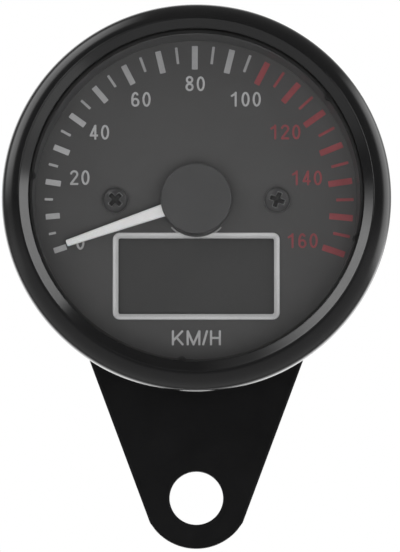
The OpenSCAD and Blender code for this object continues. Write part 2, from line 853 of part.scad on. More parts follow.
module output_wheel() {
    color("#e8e4d8") gauge() {
        translate([0, 0, slow_rear]) rotate(slow_direction)
            gear(wheel_teeth, slow_module, wheel_t, shaft_hole);
        translate([0, 0, slow_rear - gear_clear]) ring(shaft_sleeve_r, shaft_hole, gear_clear);
    }
}

// Display stack behind the window
module display_glass() {
    color("#2b3030") gauge() translate([0, 0, glass_rear]) linear_extrude(glass_t)
        within(carrier_r - carrier_skin - fit_gap)
        translate([-glass_w / 2, glass_bottom]) square([glass_w, glass_h]);
}

module light_guide() {
    color("#e6ecef") gauge() translate([0, 0, guide_rear]) linear_extrude(guide_t)
        within(carrier_r - carrier_skin - fit_gap)
        translate([-glass_w / 2, guide_bottom]) square([glass_w, guide_top - guide_bottom]);
}

module contact_strip() {
    color("#5b4a52") gauge() translate([0, 0, board_front]) linear_extrude(glass_rear - board_front)
        within(carrier_r - carrier_skin - fit_gap)
        translate([-window_w / 2, glass_bottom + fit_gap]) square([window_w, strip_w]);
}

// Carrier: a moulded dish that holds the display, the dial and the board
module carrier_pocket() {
    within(carrier_r - carrier_skin)
        translate([0, window_y]) square([glass_w + 2 * fit_gap, glass_h + 2 * fit_gap], center = true);
}

module strip_slot() {
    within(carrier_r - carrier_skin)
        translate([-window_w / 2 - fit_gap, glass_bottom])
        square([window_w + 2 * fit_gap, strip_w + 2 * fit_gap]);
}

module inner_carrier() {
    pocket_rim = fit_gap + 1;
    color("#d9dadb") gauge() difference() {
        union() {
            translate([0, 0, ledge_z]) ring(dial_r, carrier_r - carrier_rim, carrier_flange_t);
            translate([0, 0, carrier_rear]) ring(carrier_r, carrier_r - carrier_rim, ledge_z - carrier_rear);
            translate([0, 0, carrier_rear]) cylinder(h = carrier_floor_t, r = carrier_r);
            translate([0, 0, carrier_rear]) linear_extrude(dial_rear - carrier_rear) within(carrier_r)
                translate([0, window_y])
                square([glass_w + 2 * pocket_rim, glass_h + 2 * pocket_rim], center = true);
            for (x = [-dial_screw_x, dial_screw_x])
                translate([x, 0, carrier_rear]) cylinder(h = dial_rear - carrier_rear, r = screw_boss_r);
            for (place = board_screws) translate([place[0], place[1], board_front])
                cylinder(h = board_screw_l, r = screw_boss_r);
        }
        translate([0, 0, guide_rear]) linear_extrude(dial_rear - guide_rear + cut) carrier_pocket();
        translate([0, 0, carrier_rear - cut])
            cylinder(h = dial_rear - carrier_rear + 2 * cut, r = dial_hole_r);
        translate([0, 0, carrier_rear - cut]) linear_extrude(carrier_floor_t + 2 * cut) strip_slot();
        for (x = lamp_places)
            translate([x - lamp_w / 2 - fit_gap, window_y - lamp_h / 2 - fit_gap, carrier_rear - cut])
            cube([lamp_w + 2 * fit_gap, lamp_h + 2 * fit_gap, carrier_floor_t + 2 * cut]);
        for (x = [-dial_screw_x, dial_screw_x])
            translate([x, 0, carrier_rear - cut])
            cylinder(h = dial_rear - carrier_rear + 2 * cut, r = screw_hole);
        for (place = board_screws) translate([place[0], place[1], board_front - cut])
            cylinder(h = board_screw_l + cut - board_t / 2, r = screw_hole);
    }
}

// Board and what is soldered to it
module circuit_board() {
    color("#1f5a3c") gauge() translate([0, 0, board_rear]) linear_extrude(board_t) difference() {
        circle(board_r);
        circle(shaft_sleeve_r + pin_gap);
        for (place = board_screws) translate(place) circle(screw_r + 2 * pin_gap);
        for (place = pin_places) translate(place) circle(motor_pin_r + pin_gap);
    }
}

module board_screws() {
    color("#8d8f93") gauge() for (place = board_screws)
        translate([place[0], place[1], board_rear]) mirror([0, 0, 1]) pan_screw(board_screw_l);
}

module backlight_lamps() {
    color("#f3f0d8") gauge() for (x = lamp_places)
        translate([x - lamp_w / 2, window_y - lamp_h / 2, board_front]) cube([lamp_w, lamp_h, lamp_t]);
}

module controller_chip() {
    color("#202022") gauge() translate([-motor_half_w - chip_gap - chip_side, chip_gap, board_rear - chip_h])
        cube([chip_side, chip_side, chip_h]);
}

module voltage_regulator() {
    color("#202022") gauge() translate([motor_half_w + chip_gap, chip_gap, board_rear - regulator_h])
        cube([regulator_l, regulator_w, regulator_h]);
}

module smoothing_capacitor() {
    color("#2a3a5c") gauge() translate([capacitor_x, button_rise, board_rear - capacitor_h])
        cylinder(h = capacitor_h, r = capacitor_d / 2);
}

module wire_header() {
    color("#e9e6da") gauge()
        translate([-header_x - header_w / 2, button_rise - header_l / 2, board_rear - header_h])
        cube([header_w, header_l, header_h]);
}

module push_switch() {
    color("#2a2a2c") gauge() translate([0, button_rise, 0]) difference() {
        translate([-switch_side / 2, -switch_side / 2, switch_rear])
            cube([switch_side, switch_side, switch_h]);
        translate([0, 0, switch_rear - cut])
            cylinder(h = plunger_depth + button_travel + pin_gap + cut, r = plunger_r + pin_gap);
    }
}

// Button: it slides forward in its bush and presses the switch plunger
module switch_plunger() {
    color("#c9a23c") gauge() translate([0, button_rise, plunger_rear]) cylinder(h = plunger_h, r = plunger_r);
}

module mode_button() {
    color("#19191a") gauge() translate([0, button_rise, 0]) {
        translate([0, 0, button_rear]) cylinder(h = bush_front + pin_gap - button_rear, r = button_r);
        translate([0, 0, bush_front + pin_gap]) cylinder(h = shoulder_h, r = button_r + 0.8);
        translate([0, 0, bush_front + pin_gap + shoulder_h])
            cylinder(h = plunger_rear - bush_front - pin_gap - shoulder_h, r = stem_r);
    }
}

module button_bush() {
    color("#3c3c3f") gauge() translate([0, button_rise, 0]) {
        translate([0, 0, bush_flange_rear]) ring(bush_flange_d / 2, button_r + pin_gap, bush_flange_t);
        translate([0, 0, case_rear - seal_t])
            ring(bush_d / 2, button_r + pin_gap, bush_front - case_rear + seal_t);
    }
}

module button_seal() {
    color("#101010") gauge() translate([0, button_rise, case_rear - seal_t])
        ring(bush_flange_d / 2 - fit_gap, bush_d / 2 + pin_gap, seal_t);
}

// Motor: two covers over the gears, the stator and the rotor
module motor_outline(inset) {
    translate([0, motor_mid])
        polygon(round_box(2 * (motor_half_w - inset), motor_top - motor_bottom - 2 * inset,
            motor_corner - inset));
}

module motor_front_cover() {
    blind = motor_wall / 2;
    color("#2c2d2f") gauge() difference() {
        union() {
            translate([0, 0, motor_base]) linear_extrude(board_rear - motor_base) motor_outline(0);
            translate([0, 0, board_rear]) cylinder(h = board_t + board_gap, r = shaft_sleeve_r);
        }
        translate([0, 0, motor_base - cut]) linear_extrude(motor_inside - motor_base + cut)
            motor_outline(motor_wall);
        translate([0, 0, motor_inside - cut])
            cylinder(h = motor_wall + board_t + board_gap + 2 * cut, r = shaft_hole);
        for (place = [intermediate, rotor]) translate([place[0], place[1], motor_inside - cut])
            cylinder(h = blind + cut, r = arbor_hole);
        for (place = pin_places) translate([place[0], place[1], board_rear - blind])
            cylinder(h = blind + cut, r = motor_pin_r + pin_gap);
    }
}

module motor_rear_cover() {
    blind = motor_wall / 2;
    color("#2c2d2f") gauge() difference() {
        union() {
            translate([0, 0, motor_rear]) linear_extrude(motor_wall) motor_outline(0);
            for (x = [-coil_x, coil_x], y = [core_top - core_arm / 2, rotor[1]])
                translate([x, y, motor_base]) cylinder(h = core_z - motor_base, r = core_arm / 2 - fit_gap);
        }
        translate([0, 0, motor_base - blind - pin_gap]) cylinder(h = blind + pin_gap + cut, r = shaft_hole);
        for (place = [intermediate, rotor]) translate([place[0], place[1], motor_base - blind])
            cylinder(h = blind + cut, r = arbor_hole);
    }
}

module stator_core() {
    core_w = 2 * coil_x + core_arm;
    color("#8a8d92") gauge() translate([0, 0, core_z]) linear_extrude(core_t) difference() {
        union() {
            translate(rotor) circle(pole_outer);
            translate([-core_w / 2, rotor[1] - core_arm / 2]) square([core_w, core_arm]);
            translate([-core_w / 2, core_top - core_arm]) square([core_w, core_arm]);
            for (x = [-coil_x, coil_x]) translate([x - core_arm / 2, rotor[1]])
                square([core_arm, core_top - rotor[1] - core_arm / 2]);
        }
        translate(rotor) circle(pole_inner);
    }
}

module on_coils() {
    gauge() for (x = [-coil_x, coil_x])
        translate([x, coil_y - coil_l / 2, core_z + core_t / 2]) rotate([-90, 0, 0]) children();
}

module coil_bobbins() {
    color("#ece9df") on_coils() difference() {
        union() {
            cylinder(h = coil_l, r = bobbin_r);
            for (z = [0, coil_l - bobbin_flange]) translate([0, 0, z])
                cylinder(h = bobbin_flange, r = coil_r + bobbin_wall);
        }
        translate([0, 0, coil_l / 2])
            cube([core_arm + 2 * pin_gap, core_t + 2 * pin_gap, coil_l + 2 * cut], center = true);
    }
}

module coil_windings() {
    color("#b5683a") on_coils() translate([0, 0, bobbin_flange])
        ring(coil_r, bobbin_r + 0.01, coil_l - 2 * bobbin_flange);
}

module motor_pins() {
    color("#c8c9cb") gauge() for (place = pin_places)
        translate([place[0], place[1], board_rear - motor_wall / 2])
        cylinder(h = motor_wall / 2 + board_t + 0.6, r = motor_pin_r);
}

module gear_arbors() {
    color("#c8c9cb") gauge() for (place = [intermediate, rotor])
        translate([place[0], place[1], motor_base - motor_wall / 2])
        cylinder(h = motor_inside - motor_base + motor_wall, r = arbor_r);
}

module intermediate_wheel() {
    color("#e8e4d8") gauge() translate([intermediate[0], intermediate[1], 0]) {
        translate([0, 0, fast_rear]) rotate(fast_direction)
            gear(wheel_teeth, fast_module, wheel_t, arbor_hole);
        translate([0, 0, fast_front]) rotate(slow_direction + 180 + 180 / pinion_teeth)
            gear(pinion_teeth, slow_module, slow_front - fast_front, arbor_hole);
    }
}

module rotor_pinion() {
    color("#e8e4d8") gauge() translate([rotor[0], rotor[1], magnet_front])
        rotate(fast_direction + 180 + 180 / pinion_teeth)
        gear(pinion_teeth, fast_module, fast_front - magnet_front + gear_clear / 2, arbor_hole);
}

module rotor_magnet() {
    color("#4a4b4f") gauge() translate([rotor[0], rotor[1], magnet_rear])
        ring(magnet_r, arbor_hole, magnet_h);
}

// Fixing: studs through the case floor, pads, bracket, washers and nuts
module at_studs(z) {
    gauge() for (x = [-stud_x, stud_x]) translate([x, 0, z]) children();
}

module mounting_studs() {
    color("#a7a9ad") at_studs(stud_rear) {
        cylinder(h = case_floor - stud_rear, r = stud_d / 2);
        translate([0, 0, case_floor - stud_rear]) cylinder(h = stud_head_t, r = stud_head_d / 2);
    }
}

module bracket_pads() {
    color("#161616") at_studs(plate_front) ring(pad_d / 2, stud_d / 2 + 2 * pin_gap, pad_t);
}

module bracket_outline() {
    polygon(concat(arc_points([0, 0], head_r, -edge_angle, 180 + edge_angle, 72),
        arc_points([0, foot_y], foot_r, 180 + foot_corner, 360 - foot_corner, 30)));
}

module bracket_plate() {
    color("#161617") gauge() translate([0, 0, plate_rear]) linear_extrude(plate_t) difference() {
        bracket_outline();
        translate([0, -axis_height]) circle(bolt_hole_d / 2);
        for (x = [-stud_x, stud_x]) translate([x, 0]) circle(stud_d / 2 + 2 * pin_gap);
        translate([0, -grommet_drop]) circle(grommet_flange_d / 2 + fit_gap);
        translate([0, button_rise]) circle(bush_flange_d / 2 + fit_gap);
    }
}

module flat_washers() {
    color("#a7a9ad") at_studs(plate_rear - washer_t) ring(washer_d / 2, stud_d / 2 + 2 * pin_gap, washer_t);
}

module spring_washers() {
    slit = 0.6;
    color("#a7a9ad") at_studs(plate_rear - washer_t - spring_t) difference() {
        ring(washer_d / 2 - 0.6, stud_d / 2 + 2 * pin_gap, spring_t);
        translate([-slit / 2, 0, -cut]) cube([slit, washer_d, spring_t + 2 * cut]);
    }
}

module stud_nuts() {
    color("#a7a9ad") at_studs(plate_rear - washer_t - spring_t - nut_h) difference() {
        cylinder(h = nut_h, r = nut_af / sqrt(3), $fn = 6);
        translate([0, 0, -cut]) cylinder(h = nut_h + 2 * cut, r = stud_d / 2 + pin_gap);
    }
}

module cable_grommet() {
    grommet_front = case_floor + 1.2;
    nozzle_rear = plate_rear - grommet_out;
    neck_r = grommet_neck_d / 2;
    outer_r = grommet_flange_d / 2;
    color("#151515") gauge() translate([0, -grommet_drop, 0]) rotate_extrude() difference() {
        polygon([[0, nozzle_rear], [cable_d / 2 + 1.6, nozzle_rear], [outer_r, plate_rear],
            [outer_r, case_rear], [neck_r, case_rear], [neck_r, case_floor], [outer_r, case_floor],
            [outer_r, grommet_front], [0, grommet_front]]);
        translate([0, nozzle_rear - cut]) square([cable_d / 2, grommet_front - nozzle_rear + 2 * cut]);
    }
}

bezel_ring();
lens_gasket();
lens_glass();
spacer_ring();
case_gasket();
case_shell();
dial_plate();
scale_marks();
redline_marks();
scale_numbers();
redline_numbers();
display_frame();
dial_screws();
pointer_needle();
hub_cap();
pointer_shaft();
output_wheel();
display_glass();
light_guide();
contact_strip();
inner_carrier();
circuit_board();
board_screws();
backlight_lamps();
controller_chip();
voltage_regulator();
smoothing_capacitor();
wire_header();
push_switch();
switch_plunger();
mode_button();
button_bush();
button_seal();
motor_front_cover();
motor_rear_cover();
stator_core();
coil_bobbins();
coil_windings();
motor_pins();
gear_arbors();
intermediate_wheel();
rotor_pinion();
rotor_magnet();
mounting_studs();
bracket_pads();
bracket_plate();
flat_washers();
spring_washers();
stud_nuts();
cable_grommet();
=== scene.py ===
# %% [markdown]
# # A round motorcycle speedometer
# This file dresses a measured model of a small speedometer: a black bezel with a flat lens, a grey dial
# with a pointer and a display window, and a flat bracket with one bolt hole. The measured model is loaded
# first. It is the frame that every finer piece is fitted to.

# %% The frame
import json
from math import cos, pi, radians, sin, tan, tau

import bmesh
import bpy
import numpy as np
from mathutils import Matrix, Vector
from mathutils.geometry import tessellate_polygon


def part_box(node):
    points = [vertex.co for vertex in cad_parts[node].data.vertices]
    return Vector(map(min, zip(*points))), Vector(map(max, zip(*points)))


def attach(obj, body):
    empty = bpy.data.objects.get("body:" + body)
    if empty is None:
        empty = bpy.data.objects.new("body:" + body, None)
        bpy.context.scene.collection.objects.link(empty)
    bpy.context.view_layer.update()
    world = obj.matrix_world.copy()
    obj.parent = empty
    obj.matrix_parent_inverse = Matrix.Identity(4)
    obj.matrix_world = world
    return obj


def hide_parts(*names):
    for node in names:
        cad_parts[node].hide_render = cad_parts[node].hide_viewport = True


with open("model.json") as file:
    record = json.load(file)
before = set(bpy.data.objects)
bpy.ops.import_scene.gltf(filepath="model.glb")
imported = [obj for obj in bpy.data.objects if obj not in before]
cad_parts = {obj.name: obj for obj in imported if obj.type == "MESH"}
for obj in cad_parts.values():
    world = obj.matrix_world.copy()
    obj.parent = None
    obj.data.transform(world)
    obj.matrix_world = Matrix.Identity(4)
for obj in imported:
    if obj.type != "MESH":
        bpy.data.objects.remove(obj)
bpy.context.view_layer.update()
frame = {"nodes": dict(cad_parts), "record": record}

# %% [markdown]
# ## Coordinates of the gauge
# The gauge is round, so its pieces are easiest to describe from its own axis: x to the right, y up, and the
# depth behind the front crest of the bezel, all in millimetres. One function turns such points into world
# metres. Depths and radii are read from the frame's boxes, so the finer pieces follow the measured ones.

# %% Sizes that come from the frame
MM = 0.001


def corners_of(node):
    """Lowest and highest corner of a node in the gauge's own millimetres: x, y and depth."""
    return [(c.x / MM, (c.z - AXIS_Z) / MM, (c.y - FRONT) / MM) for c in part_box(node)]


def depths(node):
    """Front and rear depth of a node behind the crest."""
    return [corner[2] for corner in corners_of(node)]


def radius_of(node):
    """Largest radius of a round node that is centred on the gauge's axis."""
    return round(corners_of(node)[1][0], 2)


bezel_low, bezel_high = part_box("bezel_ring")
FRONT = bezel_low.y
AXIS_Z = (bezel_low.z + bezel_high.z) / 2
BEZEL_R = radius_of("bezel_ring")
BEZEL_REAR = depths("bezel_ring")[1]
LENS_R = radius_of("lens_glass")
LENS_FRONT, LENS_REAR = depths("lens_glass")
FLANGE_R = radius_of("case_shell")
CASE_FRONT, CASE_REAR = depths("case_shell")
DIAL_R = radius_of("dial_plate")
DIAL_FRONT, DIAL_REAR = depths("dial_plate")
PLATE_FRONT, PLATE_REAR = depths("bracket_plate")
HOLE_DROP = AXIS_Z / MM
print("bezel radius", BEZEL_R, "dial radius", DIAL_R, "dial depth", round(DIAL_FRONT, 2))

# %% [markdown]
# ## Surfaces from formulas
# Most of this object was made on a lathe, in a press or in a mould. Such shapes are a profile turned round
# an axis, an edge carried round an outline, or a height over a grid. Each builder below computes all its
# points as one array and returns them with the faces between them, which keeps the seams closed and the
# loops even.

# %% Profiles and outlines
REST = 0.05
SIDE_SHARE = 0.47


def arc(centre, radius, start, end, steps):
    """Points on a circle: centre + radius times (cos a, sin a), with a going evenly from start to end
    degrees."""
    a = np.radians(np.linspace(start, end, steps + 1))
    return np.column_stack([centre[0] + radius * np.cos(a), centre[1] + radius * np.sin(a)])


def circle(x, y, radius, steps):
    """Closed loop of points evenly round a circle."""
    return arc((x, y), radius, 0, 360 * (steps - 1) / steps, steps - 1)


def fillet(corners, steps=5):
    """Closed outline in which each corner (x, y, radius) becomes an arc that touches both of its sides. One
    more point lies up to REST before and after each arc, so that the flat beside it is shaded flat. A
    corner takes no more than SIDE_SHARE of a side."""
    at = np.array([corner[:2] for corner in corners], float)
    radii = [corner[2] if len(corner) > 2 else 0.0 for corner in corners]
    parts = []
    for i, radius in enumerate(radii):
        if not radius:
            parts.append(at[i:i + 1])
            continue
        back, ahead = at[i - 1] - at[i], at[(i + 1) % len(at)] - at[i]
        long_back, long_ahead = np.hypot(*back), np.hypot(*ahead)
        back, ahead = back / long_back, ahead / long_ahead
        half = np.arccos(np.clip(back @ ahead, -1, 1)) / 2
        reach = min(radius / tan(half), SIDE_SHARE * long_back, SIDE_SHARE * long_ahead)
        middle = (back + ahead) / np.hypot(*(back + ahead))
        centre = at[i] + middle * reach / cos(half)
        first, last = at[i] + back * reach - centre, at[i] + ahead * reach - centre
        start = np.arctan2(first[1], first[0])
        turn = (np.arctan2(last[1], last[0]) - start + pi) % tau - pi
        a = start + turn * np.linspace(0, 1, steps + 1)
        rests = [min(REST, 0.3 * (0.5 * side - reach)) for side in (long_back, long_ahead)]
        parts.append(at[i:i + 1] + back * (reach + rests[0]))
        parts.append(centre + reach * tan(half) * np.column_stack([np.cos(a), np.sin(a)]))
        parts.append(at[i:i + 1] + ahead * (reach + rests[1]))
    return np.concatenate(parts)


def rounded_box(width, height, corner, steps=8):
    """Rectangle about (0, 0) with a quarter circle at each corner."""
    w, h = width / 2 - corner, height / 2 - corner
    quarters = [((w, h), 0), ((-w, h), 90), ((-w, -h), 180), ((w, -h), 270)]
    return np.concatenate([arc(centre, corner, start, start + 90, steps) for centre, start in quarters])


def moved_in(loop, distance):
    """A closed loop with every side moved to its left by the distance, and its corners mitred."""
    before = loop - np.roll(loop, 1, axis=0)
    after = np.roll(loop, -1, axis=0) - loop
    normals = [np.column_stack([-d[:, 1], d[:, 0]]) / np.hypot(*d.T)[:, None] for d in (before, after)]
    middle = normals[0] + normals[1]
    middle /= np.hypot(*middle.T)[:, None]
    return loop + middle * (distance / np.sum(middle * normals[0], axis=1))[:, None]


# %% Grids, turned pieces and plates


def grid_faces(rows, columns, close_rows=False):
    """Quads of a grid whose points are counted row by row. Each row is closed to a ring."""
    r, c = np.meshgrid(np.arange(rows if close_rows else rows - 1), np.arange(columns), indexing="ij")
    down, right = (r + 1) % rows, (c + 1) % columns
    corners = [r * columns + c, r * columns + right, down * columns + right, down * columns + c]
    return np.stack(corners, -1).reshape(-1, 4)


def around(centre, r, a, d):
    """Points (cx + r cos a, cy + r sin a, d), listed row by row."""
    return np.stack([centre[0] + r * np.cos(a), centre[1] + r * np.sin(a), d], -1).reshape(-1, 3)


def turned(profile, steps=192, centre=(0, 0), close_rows=True, angles=None, shape=None):
    """Lathe surface: each profile point (r, d) goes round the centre at radius r and depth d. The function
    shape may change r and d over the angle a, as a tab or a thread does."""
    profile = np.asarray(profile)
    angles = np.arange(steps) * tau / steps if angles is None else angles
    r, a = np.meshgrid(profile[:, 0], angles, indexing="ij")
    d = np.repeat(profile[:, 1:2], a.shape[1], axis=1)
    if shape:
        r, d = shape(r, d, a)
    return around(centre, r, a, d), [grid_faces(*a.shape, close_rows=close_rows)]


def joined(*parts):
    """Several sets of points and faces as one, with the face numbers moved on by the points before them."""
    starts = np.cumsum([0] + [len(points) for points, _ in parts[:-1]])
    return (np.concatenate([points for points, _ in parts]),
            [faces + start for (_, lists), start in zip(parts, starts) for faces in lists])


def edge_section(front, rear, radius, steps=4):
    """Inset and depth of a plate's edge: a quarter circle at the front, a straight wall and a quarter
    circle. The first and last point lie a little further in, which keeps the flat faces flat in the
    shading."""
    q = np.linspace(0, pi / 2, steps + 1)
    shrinking, growing = radius * (1 - np.sin(q)), radius * (1 - np.cos(q))
    inset = np.concatenate([[radius + REST], shrinking, growing, [radius + REST]])
    depth = np.concatenate([[front], front + growing, rear - shrinking, [rear]])
    return inset, depth


def plate(outline, holes, front, rear, edge, hole_edge=None):
    """Flat plate: the edge section is carried round the outline, where it moves in, and round each hole,
    where it moves out into the material. The flat faces between the innermost loops are filled with
    triangles."""
    parts, faces, lips = [], [], []
    for number, loop in enumerate([outline, *holes]):
        inset, depth = edge_section(front, rear, edge if number == 0 or hole_edge is None else hole_edge)
        side = 1 if number == 0 else -1
        rows = [np.column_stack([moved_in(loop, side * i), np.full(len(loop), d)])
                for i, d in zip(inset, depth)]
        start = sum(len(part) for part in parts)
        parts.append(np.concatenate(rows))
        faces.append(grid_faces(len(rows), len(loop)) + start)
        ring = start + np.arange(len(loop))
        lips.append((ring, ring + (len(rows) - 1) * len(loop)))
    points = np.concatenate(parts)
    for rings in zip(*lips):
        flat = tessellate_polygon([[Vector(p) for p in points[ring].tolist()] for ring in rings])
        faces.append(np.concatenate(rings)[np.array(flat)])
    return points, faces


print("fillet of a square:", len(fillet([(0, 0, 1), (5, 0, 1), (5, 5, 1), (0, 5, 1)])), "points")

# %% [markdown]
# ## From arrays to finished pieces
# A piece is a closed mesh whose faces point outwards, shaded smooth except across real corners. It also
# carries one number per point, called edge, which is high on tight convex edges. Paint and plating wear there
# first, so the finishes read it, and on the dial screws the same number places a painted glint. It is worked
# out from the angle between neighbouring faces, which is quick on arrays.

# %% Pieces
SHARP = radians(38)
FLAT_BEND = 6
TIGHT_BEND = 24
slot_of = {part["node"]: part["material_slot"] for part in frame["record"]["subparts"]}
pieces = {}


def mark_edges(mesh):
    """Point attribute edge: 0 where the faces beside an edge bend by FLAT_BEND degrees or less, 1 from
    TIGHT_BEND on, and 0 along hollow edges."""
    count = len(mesh.polygons)
    normals, middles = np.empty(count * 3), np.empty(count * 3)
    mesh.polygons.foreach_get("normal", normals)
    mesh.polygons.foreach_get("center", middles)
    normals, middles = normals.reshape(-1, 3), middles.reshape(-1, 3)
    totals, edge_of = np.empty(count, int), np.empty(len(mesh.loops), int)
    mesh.polygons.foreach_get("loop_total", totals)
    mesh.loops.foreach_get("edge_index", edge_of)
    order = np.argsort(edge_of, kind="stable")
    face = np.repeat(np.arange(count), totals)[order]
    pair = np.flatnonzero(edge_of[order][1:] == edge_of[order][:-1])
    one, two, edge = face[pair], face[pair + 1], edge_of[order][pair]
    bend = np.degrees(np.arccos(np.clip(np.sum(normals[one] * normals[two], axis=1), -1, 1)))
    bend[np.sum(normals[one] * (middles[two] - middles[one]), axis=1) > 0] = 0
    share = np.clip((bend - FLAT_BEND) / (TIGHT_BEND - FLAT_BEND), 0, 1)
    ends = np.empty(len(mesh.edges) * 2, int)
    mesh.edges.foreach_get("vertices", ends)
    value = np.zeros(len(mesh.vertices))
    for end in ends.reshape(-1, 2).T:
        np.maximum.at(value, end[edge], share)
    mesh.attributes.new("edge", "FLOAT", "POINT").data.foreach_set("value", value)


def new_object(name, data):
    """Object at the origin, linked to the scene."""
    thing = bpy.data.objects.new(name, data)
    bpy.context.scene.collection.objects.link(thing)
    return thing


def make_piece(name, shape, node, body="gauge"):
    """A finished piece from points and faces. It rides on its body and stands for its CAD node."""
    points, faces = shape
    world = np.column_stack([points[:, 0] * MM, FRONT + points[:, 2] * MM, AXIS_Z + points[:, 1] * MM])
    mesh = bpy.data.meshes.new(name)
    mesh.from_pydata(world.tolist(), [], [f for part in faces for f in part.tolist()])
    work = bmesh.new()
    work.from_mesh(mesh)
    bmesh.ops.remove_doubles(work, verts=work.verts, dist=1e-7)
    bmesh.ops.dissolve_degenerate(work, edges=work.edges, dist=1e-8)
    bmesh.ops.recalc_face_normals(work, faces=work.faces)
    open_edges = sum(len(e.link_faces) != 2 for e in work.edges)
    work.to_mesh(mesh)
    work.free()
    mesh.shade_smooth()
    mesh.set_sharp_from_angle(angle=SHARP)
    mark_edges(mesh)
    piece = new_object(name, mesh)
    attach(piece, body)
    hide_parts(node)
    pieces[name] = piece, slot_of[node]
    print(name, len(mesh.polygons), "faces,", open_edges, "open edges")


# %% [markdown]
# ## Bezel
# The bezel is pressed from sheet steel: a bevel leads in to the lens, a round bulge runs outside it, and
# behind a straight skirt the edge is rolled in over the case. A cylinder with bevels would miss that soft
# bulge, which carries every reflection on the front, so its real section is drawn once and turned. Each
# corner of a profile is given as its radius from the axis, its depth and, where it is rounded, the size of
# its rounding.

# %% Bezel ring
CREST_R = 27.2
LIP_R = 25.7
LIP_FRONT = 0.85
LIP_REAR = 2.5
LIP_BEND = 0.62
BULGE_DEPTH = 5.4
SKIRT_R = 28.9
SHEET = 0.8
HEM_R = 26.4
crest_inset = BEZEL_R - CREST_R
BULGE_R = (crest_inset ** 2 + BULGE_DEPTH ** 2) / (2 * crest_inset)
bulge_centre = (BEZEL_R - BULGE_R, BULGE_DEPTH)
crest_angle = np.degrees(np.arctan2(-BULGE_DEPTH, CREST_R - bulge_centre[0]))
outer_wall = arc(bulge_centre, BULGE_R, crest_angle + 2, 20, 26)
inner_wall = arc(bulge_centre, BULGE_R - SHEET, 34, crest_angle + 8, 18)
skirt_depth = BULGE_DEPTH + np.sqrt(BULGE_R ** 2 - (SKIRT_R - bulge_centre[0]) ** 2)
bezel_profile = fillet([
    (LIP_R, LIP_FRONT, 0.16), (CREST_R, 0, 0.22), *outer_wall, (SKIRT_R, skirt_depth, 2.5),
    (SKIRT_R, BEZEL_REAR, 0.4), (HEM_R, BEZEL_REAR, 0.25), (HEM_R, BEZEL_REAR - SHEET, 0.1),
    (SKIRT_R - SHEET, BEZEL_REAR - SHEET, 0.1), *inner_wall, (LIP_R + LIP_BEND, LIP_REAR),
    (LIP_R, LIP_REAR, 0.1)])
make_piece("bezel", turned(bezel_profile, steps=256), "bezel_ring")

# %% [markdown]
# ## Lens, its seal and the spacer
# The lens is a flat disc with a ground edge. A rubber seal with a round bead lies on it inside the bezel's
# lip, and four small moulding tabs interrupt that bead, which are drawn as bumps in the seal's radius over
# the angle. Behind the lens a grey spacer leads down to the dial.

# %% Lens, seal and spacer
BEAD_R = LIP_R - 0.5
BEAD_FRONT = LIP_REAR - 0.18
SEAL_LIP_R = LIP_R - 0.04
SEAL_SKIRT_R = FLANGE_R + 0.2
SEAL_WALL = 0.4
TAB_ANGLES = (-15, -95, 37, 173)
TAB_WIDTH = 1.1
TAB_REACH = 0.35
SPACER_R = 24.9
SPACER_MOUTH_R = 25.25
SPACER_STEP = 0.6
DIAL_SEAT_R = DIAL_R + 0.2

lens_profile = fillet([
    (0, LENS_FRONT), (LENS_R, LENS_FRONT, 0.35), (LENS_R, LENS_REAR, 0.25), (0, LENS_REAR)])
make_piece("lens", turned(lens_profile, close_rows=False), "lens_glass")


def with_tabs(r, d, a):
    """Seal radius less a smooth bump of TAB_REACH at each tab's angle, on the bead only."""
    reach = np.zeros_like(r)
    for angle in TAB_ANGLES:
        away = (np.degrees(a) - angle + 180) % 360 - 180
        reach += np.exp(-(away / TAB_WIDTH) ** 4)
    return np.where(r < LIP_R, r - TAB_REACH * reach, r), d


seal_profile = fillet([
    (BEAD_R, LENS_FRONT), (BEAD_R, BEAD_FRONT, 0.24), (SEAL_LIP_R, BEAD_FRONT, 0.18), (SEAL_LIP_R, LIP_REAR),
    (SEAL_SKIRT_R, LIP_REAR, 0.1), (SEAL_SKIRT_R, LENS_REAR, 0.1), (SEAL_SKIRT_R - SEAL_WALL, LENS_REAR, 0.1),
    (SEAL_SKIRT_R - SEAL_WALL, LENS_FRONT)])
make_piece("lens_seal", turned(seal_profile, steps=720, shape=with_tabs), "lens_gasket")

spacer_profile = fillet([
    (SPACER_MOUTH_R, LENS_REAR, 0.12), (FLANGE_R, LENS_REAR, 0.1), (FLANGE_R, DIAL_FRONT - SPACER_STEP, 0.1),
    (DIAL_SEAT_R, DIAL_FRONT - SPACER_STEP), (DIAL_SEAT_R, DIAL_FRONT, 0.1), (SPACER_R, DIAL_FRONT, 0.08),
    (SPACER_R, DIAL_FRONT - SPACER_STEP - 0.1, 0.3)])
make_piece("spacer", turned(spacer_profile), "spacer_ring")

# %% [markdown]
# ## Dial and display window
# The dial is a thin printed plate with punched holes. It could be one disc with a painted window, but the
# window is a real hole with the display behind it, so the plate builder cuts it. The frame round the window
# is a silver bar with a bevel on both sides: the bevels face different ways, which is what makes its lower
# bar look brighter. Its top bar gives way to the hub cap in a round notch, and two thin rails carry the
# notch's edge on past the bar.

# %% Dial, frame and display
HUB_HOLE_R = 2.2
SCREW_X = 12.5
SCREW_HOLE_R = 1.1
WINDOW_W = 24.0
WINDOW_H = 11.7
WINDOW_CORNER = 0.3
FRAME_BAR = 0.9
FRAME_CORNER = 1.1
frame_low, frame_high = corners_of("display_frame")
FRAME_FRONT = frame_low[2]
WINDOW_Y = (frame_low[1] + frame_high[1]) / 2

